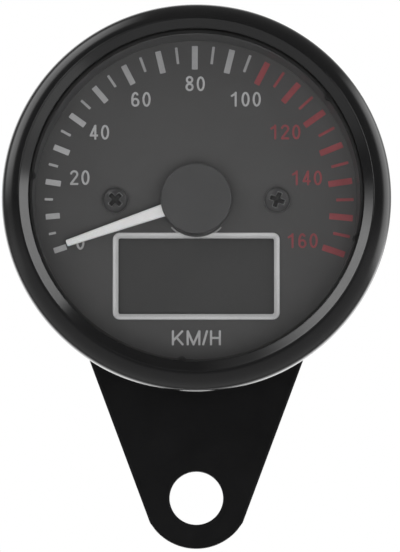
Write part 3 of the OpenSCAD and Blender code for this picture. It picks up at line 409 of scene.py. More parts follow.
window = rounded_box(WINDOW_W, WINDOW_H, WINDOW_CORNER, steps=5) + (0, WINDOW_Y)
screw_holes = [circle(side * SCREW_X, 0, SCREW_HOLE_R, 36) for side in (-1, 1)]
dial_holes = [circle(0, 0, HUB_HOLE_R, 48), window, *screw_holes]
dial = plate(circle(0, 0, DIAL_R, 192), dial_holes, DIAL_FRONT, DIAL_REAR, edge=0.06)
make_piece("dial", dial, "dial_plate")

NOTCH_R = 5.18
NOTCH_Y = -0.5
NOTCH_BAR = 0.16
HORN = 0.26
HORN_DEPTH = 0.14
frame_section = fillet([
    (0, DIAL_FRONT), (0, FRAME_FRONT + 0.1, 0.06), (0.14, FRAME_FRONT, 0.06), (0.5, FRAME_FRONT, 0.1),
    (FRAME_BAR, DIAL_FRONT - 0.08, 0.06), (FRAME_BAR, DIAL_FRONT)], 3)
top_x = np.concatenate([np.linspace(8, 3.4, 12), np.linspace(3.3, -3.3, 67), np.linspace(-3.4, -8, 12)])


def bar_loop(inset, depth):
    """One line of the bar's section round the window. Along the top its height y falls to the hub's notch:
    it is y_in + (1 - inset / bar) (y_out - y_in), with y_out the lower of the bar's edge and the notch's
    arc."""
    grown = FRAME_BAR - inset
    corner = FRAME_CORNER + (WINDOW_CORNER - FRAME_CORNER) * inset / FRAME_BAR
    box = rounded_box(WINDOW_W + 2 * grown, WINDOW_H + 2 * grown, corner)
    inner = WINDOW_H / 2
    arc_y = NOTCH_Y - np.sqrt(np.clip(NOTCH_R ** 2 - top_x ** 2, 0, None)) - WINDOW_Y
    outer = np.minimum(inner + FRAME_BAR, np.maximum(arc_y, inner + NOTCH_BAR))
    top = np.column_stack([top_x, inner + grown / FRAME_BAR * (outer - inner)])
    quarter = len(box) // 4
    loop = np.concatenate([box[:quarter], top, box[quarter:]]) + (0, WINDOW_Y)
    return np.column_stack([loop, np.full(len(loop), depth)])


def horn(start, end, rows=25, columns=12):
    """Thin rail that carries the notch's edge on past the bar: a round section swept along the notch's arc,
    with its radius drawn in to nothing at both ends."""
    t = np.linspace(0, 1, rows)
    a = np.radians(start + (end - start) * t)[:, None]
    size = HORN / 2 * np.sqrt(np.clip(1 - (2 * t - 1) ** 8, 0, 1))[:, None]
    q = np.arange(columns) * tau / columns
    r = NOTCH_R + HORN / 2 + size * np.cos(q)
    d = FRAME_FRONT + HORN_DEPTH + size * np.sin(q)
    return around((0, NOTCH_Y), r, a, d), [grid_faces(rows, columns)]


bar_loops = [bar_loop(inset, depth) for inset, depth in frame_section]
bar = np.concatenate(bar_loops), [grid_faces(len(bar_loops), len(bar_loops[0]), close_rows=True)]
make_piece("window_frame", joined(bar, horn(-43, -60), horn(-137, -120)), "display_frame")

glass_low, glass_high = np.array(corners_of("display_glass"))
glass_y = (glass_low[1] + glass_high[1]) / 2
glass_outline = rounded_box(*(glass_high - glass_low)[:2], 0.25, steps=3) + (0, glass_y)
make_piece("display", plate(glass_outline, [], glass_low[2], glass_high[2], edge=0.15), "display_glass")

# %% [markdown]
# ## Printed scale
# Marks and numbers are screen printed, so they are ink that stands a little proud of the dial. Text objects
# would bring a font's own shapes, so each digit is drawn here with a few lines and ovals, as a sign painter
# would, and every line becomes a low bead. The marks are small plates on rays. Their inner ends lie on a
# circle, while the outer ends drift outwards along the scale and once more round its top, which makes the
# marks grow.

# %% Ink lines and marks
INK = 0.08
INK_FRONT = DIAL_FRONT - INK
INK_LAYER = 0.004


def ink_line(path, width, closed=False, layer=0):
    """Bead of ink along a path: the section lies across the path's direction. At an open end its width w
    goes on past the end as w (1 - s^4)^(1/4) over a length s of w / 2, which rounds the end a little. Lines
    that cross lie in different layers, a hair apart, so that no two faces share a plane."""
    path = np.asarray(path, float)
    ahead = np.roll(path, -1, axis=0) - np.roll(path, 1, axis=0) if closed else np.gradient(path, axis=0)
    ahead = ahead / np.hypot(*ahead.T)[:, None]
    size = np.ones(len(path))
    if not closed:
        s = np.array([1, 0.94, 0.78, 0.5])
        cap = (1 - s ** 4) ** 0.25
        path = np.concatenate([path[0] - np.outer(s, ahead[0]) * width / 2, path,
                               path[-1] + np.outer(s[::-1], ahead[-1]) * width / 2])
        ahead = np.concatenate([ahead[:1].repeat(len(s), axis=0), ahead, ahead[-1:].repeat(len(s), axis=0)])
        size = np.concatenate([cap, size, cap[::-1]])
    across, up = np.array([-1, -0.9, 0.9, 1]), np.array([0, 1, 1, 0])
    side = np.column_stack([-ahead[:, 1], ahead[:, 0]]) * (size * width / 2)[:, None]
    flat = path[:, None] + side[:, None] * across[None, :, None]
    depth = np.broadcast_to(DIAL_FRONT - (INK + INK_LAYER * layer) * up, flat.shape[:2])
    points = np.concatenate([flat, depth[..., None]], -1).reshape(-1, 3)
    return points, [grid_faces(len(path), len(across), close_rows=closed)]


def laid(shape, x, y, turn=0.0):
    """A shape turned by an angle in degrees about (0, 0) and moved to (x, y)."""
    points, faces = shape
    along, across, depth = points.T
    c, q = cos(radians(turn)), sin(radians(turn))
    return np.column_stack([x + along * c - across * q, y + along * q + across * c, depth]), faces


SCALE_MIDDLE = np.array([-0.26, -0.5])
OUTER_R = DIAL_R - 2.18
OUTER_DRIFT = 1.1
OUTER_CREST = 0.2
CREST_SPREAD = 0.17
LONG_MARK = {"inner": 20.9, "width": 0.87, "growth": 0.1}
SHORT_MARK = {"inner": 21.89, "width": 0.37, "growth": 0.08}
TOP_SPEED = 160
RED_FROM = 100
MARK_STEP = 5
FIRST_ANGLE = 198.7
SWEEP = 217.6


def speed_mark(speed):
    """Mark along the ray of its speed. It ends where the ray is R = OUTER_R + drift + crest away from the
    dial's middle: with u the ray's direction and m the ray's start, that is at -u.m + sqrt(R^2 - m.m +
    (u.m)^2)."""
    share = speed / TOP_SPEED
    angle = FIRST_ANGLE - SWEEP * share
    ray = np.array([cos(radians(angle)), sin(radians(angle))])
    end_r = OUTER_R + OUTER_DRIFT * share + OUTER_CREST * np.exp(-((share - 0.5) / CREST_SPREAD) ** 2)
    lean = ray @ SCALE_MIDDLE
    outer = np.sqrt(end_r ** 2 - SCALE_MIDDLE @ SCALE_MIDDLE + lean ** 2) - lean
    mark = LONG_MARK if speed % (2 * MARK_STEP) == 0 else SHORT_MARK
    width = mark["width"] + mark["growth"] * share
    outline = rounded_box(outer - mark["inner"], width, 0.07, steps=2)
    shape = plate(outline, [], INK_FRONT, DIAL_FRONT, edge=0.02)
    return laid(shape, *(SCALE_MIDDLE + ray * (outer + mark["inner"]) / 2), angle)


grey_speeds = range(0, RED_FROM, MARK_STEP)
red_speeds = range(RED_FROM, TOP_SPEED + MARK_STEP, MARK_STEP)
make_piece("speed_marks", joined(*[speed_mark(v) for v in grey_speeds]), "scale_marks")
make_piece("red_marks", joined(*[speed_mark(v) for v in red_speeds]), "redline_marks")

# %% Numbers and unit
DIGIT_H = 2.3
DIGIT_HALF = 0.635
DIGIT_STEP = 1.73
LINE = 0.32


def oval(x, y, across, up, start=0.0, end=350.0, steps=35):
    """Points (x + across cos a, y + up sin a) with a from start to end degrees."""
    return arc((0, 0), 1, start, end, steps) * (across, up) + (x, y)


half, top, thin = DIGIT_HALF - LINE / 2, DIGIT_H - LINE / 2, LINE / 2
digit_lines = {
    "0": [(oval(0, DIGIT_H / 2, half, DIGIT_H / 2 - thin), True)],
    "1": [([(0.2, thin), (0.2, top)], False), ([(0.2, top - 0.08), (-0.38, 0.73 * DIGIT_H)], False)],
    "2": [([*oval(0, top - half, half, half, 165, -35, 20), (-half + 0.02, thin + 0.1)], False),
          ([(-half, thin), (half, thin)], False)],
    "4": [([(0.22, thin), (0.22, top)], False), ([(0.16, top - 0.06), (-half, 0.3 * DIGIT_H)], False),
          ([(-half, 0.28 * DIGIT_H), (half + 0.02, 0.28 * DIGIT_H)], False)],
    "6": [(oval(0, 0.3 * DIGIT_H, half, 0.3 * DIGIT_H - thin), True),
          (oval(0, DIGIT_H / 2, half, DIGIT_H / 2 - thin, 50, 200, 20), False)],
    "8": [(oval(0, 0.28 * DIGIT_H, half, 0.28 * DIGIT_H - thin), True),
          (oval(0, 0.77 * DIGIT_H, 0.88 * half, 0.23 * DIGIT_H - thin + 0.06), True)]}
number_places = {
    "0": (-17.9, -6.5), "20": (-18.0, 3.56), "40": (-14.97, 10.62), "60": (-8.56, 15.75),
    "80": (-0.17, 18.18), "100": (7.63, 15.77), "120": (13.75, 10.66), "140": (17.07, 3.51),
    "160": (16.4, -6.25)}


def speed_number(label):
    """Digits side by side about the number's middle."""
    x, y = number_places[label]
    parts = []
    for i, name in enumerate(label):
        middle = x + (i - (len(label) - 1) / 2) * DIGIT_STEP
        parts += [laid(ink_line(path, LINE, closed, layer), middle, y - DIGIT_H / 2)
                  for layer, (path, closed) in enumerate(digit_lines[name])]
    return joined(*parts)


LETTER_H = 2.32
UNIT_LINE = 0.34
UNIT_Y = -22.48
low_end, high_end = UNIT_Y + UNIT_LINE / 2, UNIT_Y + LETTER_H - UNIT_LINE / 2
unit_lines = [[(x, low_end), (x, high_end)] for x in (-3.6, -1.32, 0.48, 2.28, 3.64)] + [
    [(-3.5, UNIT_Y + 0.78), (-2.18, high_end)], [(-3.05, UNIT_Y + 1.25), (-2.12, low_end)],
    [(-1.3, high_end), (-0.42, low_end)], [(0.46, high_end), (-0.42, low_end)],
    [(1.08, low_end), (1.64, high_end)], [(2.28, UNIT_Y + 1.15), (3.64, UNIT_Y + 1.15)]]
unit = joined(*[ink_line(line, UNIT_LINE, layer=layer) for layer, line in enumerate(unit_lines)])
numbers = {label: speed_number(label) for label in number_places}
grey_numbers = [shape for label, shape in numbers.items() if int(label) <= RED_FROM]
red_numbers = [shape for label, shape in numbers.items() if int(label) > RED_FROM]
make_piece("speed_numbers", joined(unit, *grey_numbers), "scale_numbers")
make_piece("red_numbers", joined(*red_numbers), "redline_numbers")

# %% [markdown]
# ## Dial screws
# Two small pan heads with a cross recess hold the dial. The recess narrows as it goes down and its arms end
# in slopes. A Boolean with a cross would give flat walls, so the whole head is a height over a polar grid:
# the dome less the depth of the cross at each point.

# %% Dial screws
HEAD_R = 2.0
SCREW_R = 1.0
TIP_R = 0.7
TIP_LENGTH = 0.4
ARM_HALF = 0.39
ARM_WALL = 0.12
ARM_REACH = 1.25
ARM_SLOPE = 0.35
CROSS_R = 0.62
CROSS_WALL = 0.15
CROSS_DEPTH = 0.85
SCREW_TOP, SCREW_END = depths("dial_screws")


def smooth_step(value, width):
    """0 below zero, 1 above width, and a smooth rise between them."""
    t = np.clip(value / width, 0, 1)
    return t * t * (3 - 2 * t)


def cross_mask(x, y):
    """1 inside a cross of two arms with a round middle, falling to 0 over its sloping walls."""
    arms = [smooth_step(ARM_HALF - np.abs(v), ARM_WALL) * smooth_step(ARM_REACH - np.abs(u), ARM_SLOPE)
            for u, v in ((x, y), (y, x))]
    return np.maximum.reduce([*arms, smooth_step(CROSS_R - np.hypot(x, y), CROSS_WALL)])


def pan_screw(x, turn):
    """Screw at (x, 0): height over (r, a) is the dome H (0.45 + 0.55 sqrt(1 - (r/R)^3)) less the cross."""
    tall = DIAL_FRONT - SCREW_TOP
    head_r = np.concatenate([np.linspace(0, 1.5, 34), np.linspace(1.56, HEAD_R, 9)])
    dome = tall * (0.45 + 0.55 * np.sqrt(np.clip(1 - (head_r / HEAD_R) ** 3, 0, 1)))
    shank = [(HEAD_R, DIAL_FRONT), (SCREW_R, DIAL_FRONT), (SCREW_R, SCREW_END - TIP_LENGTH),
             (TIP_R, SCREW_END), (0, SCREW_END)]

    def recess(r, d, a):
        mask = cross_mask(r * np.cos(a - turn), r * np.sin(a - turn))
        depth = CROSS_DEPTH * mask * (1 - 0.45 * r / ARM_REACH)
        return r, d + np.where(d < DIAL_FRONT - 0.5, depth, 0)

    profile = np.concatenate([np.column_stack([head_r, DIAL_FRONT - dome]), shank])
    return turned(profile, steps=144, centre=(x, 0), close_rows=False, shape=recess)


screws = joined(pan_screw(-SCREW_X, radians(45)), pan_screw(SCREW_X, radians(-21)))
make_piece("dial_screw_pair", screws, "dial_screws")

# %% [markdown]
# ## Pointer
# The needle is a moulded blade that narrows to a blunt tip, with a crowned top so that it catches the light
# along its middle. It leaves through a notch in the wall of the hub cap. The blade is a section carried
# along its length, and the cap is a turned profile whose foot is lifted over the notch.

# %% Needle and hub cap
NEEDLE_ANGLE = 199
NEEDLE_ROOT = 1.93
NEEDLE_TIP = 1.03
NEEDLE_LENGTH = 21.15
NEEDLE_T = 0.7
NEEDLE_CORNER = 0.22
BLADE_START = 4.0
BLADE_CROWN = 0.06
BOSS_R = 4.25
SHAFT_HOLE = 0.55
HUB_R = 5.5
HUB_FOOT_R = 5.42
HUB_SHOULDER = 1.2
HUB_WALL = 0.8
HUB_FACE, HUB_FOOT = depths("hub_cap")
NEEDLE_FRONT, BOSS_REAR = depths("pointer_needle")


def needle_blade():
    """Blade along its own x: half width w(s) falls evenly from root to tip and ends in a round corner, and
    the section is w(s) times the unit section across and its own height in depth."""
    section = fillet([(-1, 0.1, 0.08), (-0.72, 0, 0.1), (0.72, 0, 0.1), (1, 0.1, 0.08), (1, 0.62, 0.1),
                      (0.9, NEEDLE_T, 0.05), (-0.9, NEEDLE_T, 0.05), (-1, 0.62, 0.1)], 3)
    crown = BLADE_CROWN * section[:, 0] ** 2 * (section[:, 1] < 0.2)
    straight_end = NEEDLE_LENGTH - NEEDLE_CORNER
    s = np.concatenate([[BLADE_START], np.linspace(BLADE_START, straight_end, 30),
                        straight_end + NEEDLE_CORNER * np.sin(np.linspace(0.2, pi / 2, 6)), [NEEDLE_LENGTH]])
    share = np.clip((s - HUB_R) / (NEEDLE_LENGTH - HUB_R), 0, 1)
    past = np.clip(s - straight_end, 0, NEEDLE_CORNER)
    width = (NEEDLE_ROOT + (NEEDLE_TIP - NEEDLE_ROOT) * share) / 2
    width -= NEEDLE_CORNER - np.sqrt(NEEDLE_CORNER ** 2 - past ** 2)
    fill = np.ones_like(s)
    fill[[0, -1]] = 0
    across = np.outer(width * fill, section[:, 0])
    depth = NEEDLE_FRONT + NEEDLE_T / 2 + np.outer(fill, section[:, 1] + crown - NEEDLE_T / 2)
    along = np.repeat(s[:, None], len(section), axis=1)
    points = np.stack([along, across, depth], -1).reshape(-1, 3)
    return laid((points, [grid_faces(len(s), len(section))]), 0, 0, NEEDLE_ANGLE)


boss_profile = fillet([(SHAFT_HOLE, NEEDLE_FRONT, 0.1), (BOSS_R, NEEDLE_FRONT, 0.1),
                       (BOSS_R, BOSS_REAR, 0.15), (SHAFT_HOLE, BOSS_REAR, 0.1)])
make_piece("needle", joined(needle_blade(), turned(boss_profile, steps=96)), "pointer_needle", body="pointer")

notch_half = np.degrees(np.arcsin((NEEDLE_ROOT / 2 + 0.05) / HUB_FOOT_R))
notch_steps = [NEEDLE_ANGLE + side * (notch_half - rest) for side in (-1, 1) for rest in (0, 0.1)]
hub_angles = np.radians(np.sort(np.concatenate([np.arange(0, 360, 1.5), notch_steps])))


def over_needle(r, d, a):
    """Wall of the cap with its foot lifted to the needle's front inside the notch."""
    inside = np.abs(np.degrees(a) - NEEDLE_ANGLE) < notch_half - 0.05
    return r, np.where(inside & (d > NEEDLE_FRONT), NEEDLE_FRONT + 0.01 * (d - NEEDLE_FRONT), d)


hub_profile = fillet([
    (0, HUB_FACE), (HUB_R, HUB_FACE, 0.3), (HUB_R, HUB_FACE + HUB_SHOULDER, 0.5), (HUB_FOOT_R, HUB_FOOT, 0.1),
    (HUB_FOOT_R - HUB_WALL, HUB_FOOT, 0.1), (HUB_FOOT_R - HUB_WALL, NEEDLE_FRONT), (0, NEEDLE_FRONT)])
hub = turned(hub_profile, close_rows=False, angles=hub_angles, shape=over_needle)
make_piece("hub", hub, "hub_cap", body="pointer")

# %% [markdown]
# ## Case
# Behind the bezel sits a moulded cup. Its wall and flange are turned, and its floor is flat with holes for
# two studs, the cable's grommet and the button. The turned wall ends on a ring in the floor, and both sides
# of the floor are filled between that ring and the rounded hole edges, so the cup stays one closed surface.

# %% Moulded case
CASE_R = 26.0
INNER_R = 24.4
FLOOR_R = 22.0
LEDGE_R = 25.7
LEDGE_DEPTH = 11.8
FLANGE_REAR = 13.3
FLOOR_FRONT = CASE_REAR - 2.0
STUD_X = 10.0
STUD_HOLE_R = 2.55
GROMMET_Y = -14.0
GROMMET_HOLE_R = 4.95
BUTTON_Y = 15.0
BUSH_HOLE_R = 4.25


def pierced_cup(profile, floor_r, holes, front, rear, edge, steps=256):
    """Turned wall whose profile starts and ends on the ring floor_r, with a floor pierced by round-edged
    holes."""
    wall = turned(profile, steps=steps, close_rows=False)
    points, faces = plate(circle(0, 0, floor_r, steps), holes, front, rear, 0.0, hole_edge=edge)
    return joined(wall, (points, faces[1:]))


def stud_holes(radius):
    """Loops of the two holes that the studs pass through."""
    return [circle(side * STUD_X, 0, radius, 48) for side in (-1, 1)]


case_holes = [*stud_holes(STUD_HOLE_R), circle(0, GROMMET_Y, GROMMET_HOLE_R, 72),
              circle(0, BUTTON_Y, BUSH_HOLE_R, 64)]
case_profile = fillet([
    (FLOOR_R, FLOOR_FRONT), (INNER_R, FLOOR_FRONT, 0.8), (INNER_R, LEDGE_DEPTH, 0.1),
    (LEDGE_R, LEDGE_DEPTH, 0.1), (LEDGE_R, CASE_FRONT, 0.1), (FLANGE_R, CASE_FRONT, 0.15),
    (FLANGE_R, FLANGE_REAR, 0.15), (CASE_R, FLANGE_REAR, 0.3), (CASE_R, CASE_REAR, 2.0),
    (FLOOR_R, CASE_REAR)], 8)
make_piece("case", pierced_cup(case_profile, FLOOR_R, case_holes, FLOOR_FRONT, CASE_REAR, 0.25), "case_shell")

# %% [markdown]
# ## Bracket
# The bracket is cut from 2 mm steel sheet and powder coated. Its outline is a round head with two straight
# sides running down to a small foot. The coat rounds every edge, and that small round carries the light
# along the outline, so the plate's edge is a quarter circle front and back instead of a sharp corner.

# %% Bracket plate
plate_low, plate_high = corners_of("bracket_plate")
HEAD_RADIUS = round(plate_high[0], 2)
FOOT_R = 8.6
FOOT_CORNER = 31
FOOT_ROUND = 0.6
FOOT_Y = plate_low[1] + FOOT_R
# The way that a straight side leaves the foot's corner.
SIDE_RUN = np.array([3, 8])
BOLT_R = 4.25
GROMMET_PASS_R = 6.4
BUSH_PASS_R = 5.6
STUD_PASS_R = 2.6
foot_arc = arc((0, FOOT_Y), FOOT_R, 180 + FOOT_CORNER, 360 - FOOT_CORNER, 48)
left, right = foot_arc[0], foot_arc[-1]
side_tilt = np.degrees(np.arcsin(HEAD_RADIUS / np.hypot(*right)) - np.arctan2(right[0], -right[1]))
bracket_outline = np.concatenate([
    arc((0, 0), HEAD_RADIUS, -side_tilt, 180 + side_tilt, 160),
    fillet([left + SIDE_RUN * (-1, 1), (*left, FOOT_ROUND), foot_arc[3]], 4)[1:-1],
    foot_arc[4:-4],
    fillet([foot_arc[-4], (*right, FOOT_ROUND), right + SIDE_RUN], 4)[1:-1]])
bracket_holes = [circle(0, -HOLE_DROP, BOLT_R, 96), circle(0, GROMMET_Y, GROMMET_PASS_R, 96),
                 circle(0, BUTTON_Y, BUSH_PASS_R, 96), *stud_holes(STUD_PASS_R)]
bracket = plate(bracket_outline, bracket_holes, PLATE_FRONT, PLATE_REAR, edge=0.4, hole_edge=0.3)
make_piece("bracket", bracket, "bracket_plate")
print("side of the bracket leans", round(float(side_tilt), 1), "degrees")

# %% [markdown]
# ## Fixings behind the plate
# Each stud holds the plate between a rubber pad and a nut on two washers. The thread is a ridge that climbs
# one pitch per turn, so the stud's radius depends on angle and depth together. The nut is a hexagon whose
# corners are turned off by a cone, and the spring washer is a ring that is cut and slightly sprung.

# %% Studs, nuts, washers and pads
PITCH = 0.8
THREAD_DEPTH = 0.38
THREAD_START = FLOOR_FRONT + 1.6
STUD_R = 2.5
STUD_END = 0.55
STUD_HEAD_R = 4.0
stud_front, stud_rear = depths("mounting_studs")
washer_front, washer_rear = depths("flat_washers")
spring_front, spring_rear = depths("spring_washers")
nut_front, nut_rear = depths("stud_nuts")
pad_front, pad_rear = depths("bracket_pads")


def at_studs(build):
    """The same shape built on both studs."""
    return joined(*[build(centre=(side * STUD_X, 0)) for side in (-1, 1)])


def thread(r, d, a):
    """Radius less a rounded groove whose phase is depth / pitch - angle / turn, and less a cone at the
    end."""
    phase = (d / PITCH - a / tau) % 1
    groove = THREAD_DEPTH * np.clip(1.25 * (1 - np.abs(2 * phase - 1)) - 0.1, 0, 1)
    on_thread = (r > STUD_R - 0.01) & (d > THREAD_START)
    cone = np.clip(d - (stud_rear - STUD_END), 0, STUD_END)
    return np.where(on_thread, r - np.maximum(groove, cone), r), d


thread_rows = np.arange(THREAD_START, stud_rear, PITCH / 8)
stud_head = [(0, stud_front), (STUD_HEAD_R, stud_front, 0.4), (STUD_HEAD_R, FLOOR_FRONT, 0.1),
             (STUD_R, FLOOR_FRONT)]
stud_profile = np.concatenate([
    fillet(stud_head), np.column_stack([np.full(len(thread_rows), STUD_R), thread_rows]),
    [(STUD_R, stud_rear), (0, stud_rear)]])
studs = at_studs(lambda centre: turned(stud_profile, 48, centre, close_rows=False, shape=thread))
make_piece("studs", studs, "mounting_studs")

NUT_HALF = 4.0
NUT_FACE = NUT_HALF - 0.08
NUT_WALL = NUT_HALF + 0.1
NUT_HOLE_R = 2.55
NUT_LEAD = 0.3
CHAMFER = tan(radians(27))


def hexagon(r, d, a):
    """Outer wall at the hexagon's radius NUT_HALF / cos(a mod 60 - 30), and its ends on the chamfer's
    cone."""
    flat = NUT_HALF / np.cos(np.radians((np.degrees(a) % 60) - 30))
    wall = r > NUT_HALF + 0.01
    drop = np.where(wall, (flat - NUT_FACE) * CHAMFER, 0)
    middle = (nut_front + nut_rear) / 2
    return np.where(wall, flat, r), d + np.sign(middle - d) * drop


nut_half = [(NUT_HOLE_R, NUT_LEAD), (NUT_HOLE_R + NUT_LEAD, 0), (NUT_FACE, 0), (NUT_WALL, 0)]
nut_profile = [(r, nut_front + d) for r, d in nut_half] + [(r, nut_rear - d) for r, d in nut_half[::-1]]
make_piece("nuts", at_studs(lambda centre: turned(nut_profile, 96, centre, shape=hexagon)), "stud_nuts")

WASHER_HOLE_R = 2.6
WASHER_R = 5.0
SPRING_R = 4.4
SPRING = 0.16
SLIT = 0.6
washer_profile = fillet([(WASHER_HOLE_R, washer_front, 0.08), (WASHER_R, washer_front, 0.08),
                         (WASHER_R, washer_rear, 0.3), (WASHER_HOLE_R, washer_rear, 0.15)], 4)
make_piece("washers", at_studs(lambda centre: turned(washer_profile, 96, centre)), "flat_washers")


def split_ring(centre, rows=97):
    """Section carried from one side of the slit round to the other, its depth rising evenly by SPRING."""
    section = fillet([(r, d, 0.15) for r, d in (
        (WASHER_HOLE_R, spring_front), (SPRING_R, spring_front), (SPRING_R, spring_rear - SPRING),
        (WASHER_HOLE_R, spring_rear - SPRING))], 4)
    half = SLIT / (WASHER_HOLE_R + SPRING_R)
    r, a = np.meshgrid(section[:, 0], np.linspace(pi / 2 + half, pi / 2 + tau - half, rows))
    d = section[:, 1] + SPRING * np.linspace(0, 1, rows)[:, None]
    caps = np.array([[0], [(rows - 1) * len(section)]]) + np.arange(len(section))
    return around(centre, r, a, d), [grid_faces(rows, len(section)), caps]


make_piece("split_washers", at_studs(split_ring), "spring_washers")

PAD_R = 6.5
PAD_ROUND = 0.25
PAD_HOLE_R = 2.6
PAD_LEAD = 0.15
pad_rim = arc((PAD_R - PAD_ROUND, (pad_front + pad_rear) / 2), PAD_ROUND, -90, 90, 10)
pad_rim[:, 1] += np.linspace(-1, 1, len(pad_rim)) * ((pad_rear - pad_front) / 2 - PAD_ROUND)
pad_profile = np.concatenate([pad_rim, [
    (PAD_HOLE_R + PAD_LEAD, pad_rear), (PAD_HOLE_R, pad_rear - PAD_LEAD), (PAD_HOLE_R, pad_front + PAD_LEAD),
    (PAD_HOLE_R + PAD_LEAD, pad_front)]])
make_piece("pads", at_studs(lambda centre: turned(pad_profile, 96, centre)), "bracket_pads")

# %% [markdown]
# ## Grommet and button
# A rubber grommet closes the hole for the cable, with shallow rings on its nose. Above it a small button
# slides in a plastic bush. All three are turned profiles about their own axes, and the button's face is a
# shallow dish that keeps a fingertip centred.

# %% Grommet, bush and button
CABLE_R = 2.25
GROMMET_R = 6.2
GROMMET_WAIST_R = 4.9
# Radius, distance from the nose's end, and rounding.
NOSE_RINGS = [(3.85, 0, 0.5), (4.45, 0.62, 0.12), (4.2, 0.8, 0.1), (5.2, 1.45, 0.15), (4.95, 1.62, 0.1)]
grommet_front, grommet_rear = depths("cable_grommet")
grommet_profile = fillet([
    (CABLE_R, grommet_rear, 0.25), *[(r, grommet_rear - d, rounding) for r, d, rounding in NOSE_RINGS],
    (GROMMET_R, PLATE_REAR, 0.35), (GROMMET_R, CASE_REAR, 0.15), (GROMMET_WAIST_R, CASE_REAR, 0.1),
    (GROMMET_WAIST_R, FLOOR_FRONT, 0.1), (GROMMET_R, FLOOR_FRONT, 0.15), (GROMMET_R, grommet_front, 0.4),
    (CABLE_R, grommet_front, 0.2)], 5)
make_piece("grommet", turned(grommet_profile, 128, (0, GROMMET_Y)), "cable_grommet")

BUSH_BORE_R = 3.05
BUSH_R = 4.2
BUSH_FLANGE_R = 5.4
BUSH_FLANGE = 1.2
bush_front, bush_rear = depths("button_bush")
bush_profile = fillet([
    (BUSH_BORE_R, bush_rear, 0.25), (BUSH_FLANGE_R, bush_rear, 0.35),
    (BUSH_FLANGE_R, bush_rear - BUSH_FLANGE, 0.1), (BUSH_R, bush_rear - BUSH_FLANGE, 0.1),
    (BUSH_R, bush_front, 0.2), (BUSH_BORE_R, bush_front, 0.1)], 6)
make_piece("bush", turned(bush_profile, 128, (0, BUTTON_Y)), "button_bush")

BUTTON_R = 3.0
SHOULDER_R = 3.8
SHOULDER_H = 1.2
STEM_R = 1.6
DISH_R = 7.0
DISH_DEPTH = 0.2
button_front, button_rear = depths("mode_button")
shoulder_rear = bush_front - 0.05
dish = arc((0, button_rear + DISH_R - DISH_DEPTH), DISH_R, -90, -76, 10)
button_profile = np.concatenate([dish, fillet([
    dish[-1], (BUTTON_R, button_rear, 0.45), (BUTTON_R, shoulder_rear, 0.1), (SHOULDER_R, shoulder_rear, 0.1),
    (SHOULDER_R, shoulder_rear - SHOULDER_H, 0.1), (STEM_R, shoulder_rear - SHOULDER_H, 0.1),
    (STEM_R, button_front, 0.1), (0, button_front)], 6)[1:]])
button = turned(button_profile, 96, (0, BUTTON_Y), close_rows=False)
make_piece("button", button, "mode_button", body="button")

# %% [markdown]
# ## Effects that several finishes share
# Real surfaces are never one flat colour. Five small node groups give what nearly all of these finishes need:
# a fine grain or drawn lines for the relief, soft blotches for the colour, a colour on the edges that the
# meshes have marked, which is wear on most parts and a painted glint on the dial screws, and dust that
# settles on faces that look up. The materials set the scale and strength of each group, so the finishes stay
# independent of each other.

# %% Node groups


class Value:
    """What a node puts out. Python's operators on it add math nodes."""

    def __init__(self, nodes, socket):
        self.nodes = nodes
        self.socket = socket

    def __add__(self, other):
        return self.nodes.math("ADD", self, other)

    def __sub__(self, other):
        return self.nodes.math("SUBTRACT", self, other)

    def __rsub__(self, other):
        return self.nodes.math("SUBTRACT", other, self)

    def __mul__(self, other):
        return self.nodes.math("MULTIPLY", self, other)

    def __truediv__(self, other):
        return self.nodes.math("DIVIDE", self, other)

    def __rtruediv__(self, other):
        return self.nodes.math("DIVIDE", other, self)

    def __gt__(self, other):
        return self.nodes.math("GREATER_THAN", self, other)

    def __abs__(self):
        return self.nodes.math("ABSOLUTE", self)


class Nodes:
    """Short way to add nodes to a tree, set their values and link their sockets."""

    def __init__(self, tree):
        self.tree = tree

    def fill(self, node, values):
        """Link each input to what another node puts out, or set it to a constant."""
        for key, value in values.items():
            value = getattr(value, "socket", value)
            if isinstance(value, bpy.types.NodeSocket):
                self.tree.links.new(value, node.inputs[key])
            else:
                node.inputs[key].default_value = value

    def add(self, kind, values=None, **settings):
        node = self.tree.nodes.new(kind)
        for key, value in settings.items():
            setattr(node, key, value)
        self.fill(node, values or {})
        return node

    def number(self, kind, values, **settings):
        return Value(self, self.add(kind, values, **settings).outputs[0])

    def math(self, operation, *values, clamp=False):
        return self.number("ShaderNodeMath", dict(enumerate(values)), operation=operation, use_clamp=clamp)

    def vector(self, operation, *values, output=0, **named):
        values = {**dict(enumerate(values)), **named}
        return self.add("ShaderNodeVectorMath", values, operation=operation).outputs[output]

    def remap(self, value, low, high, to_low=0.0, to_high=1.0, **settings):
        values = dict(enumerate((value, low, high, to_low, to_high)))
        return self.number("ShaderNodeMapRange", values, **settings)

    def noise(self, vector, scale, detail=2.0, roughness=0.5, distortion=0.0):
        return self.number("ShaderNodeTexNoise", {"Vector": vector, "Scale": scale, "Detail": detail,
                                                  "Roughness": roughness, "Distortion": distortion})

    def group(self, tree, **values):
        return self.number("ShaderNodeGroup", values, node_tree=tree)

    def xyz(self, vector):
        """The three numbers of a vector or a colour."""
        return [Value(self, part) for part in self.add("ShaderNodeSeparateXYZ", {0: vector}).outputs]

    def length(self, x, y):
        """Square root of x x + y y."""
        return self.math("SQRT", x * x + y * y)

    def mix(self, mask, shade, color):
        """The shade where the mask is 0, and the colour where it is 1."""
        return self.add("ShaderNodeMix", {0: mask, 6: shade, 7: (*color, 1)}, data_type="RGBA").outputs[2]


SOCKET_TYPES = {1: "NodeSocketFloat", 3: "NodeSocketVector", 4: "NodeSocketColor"}


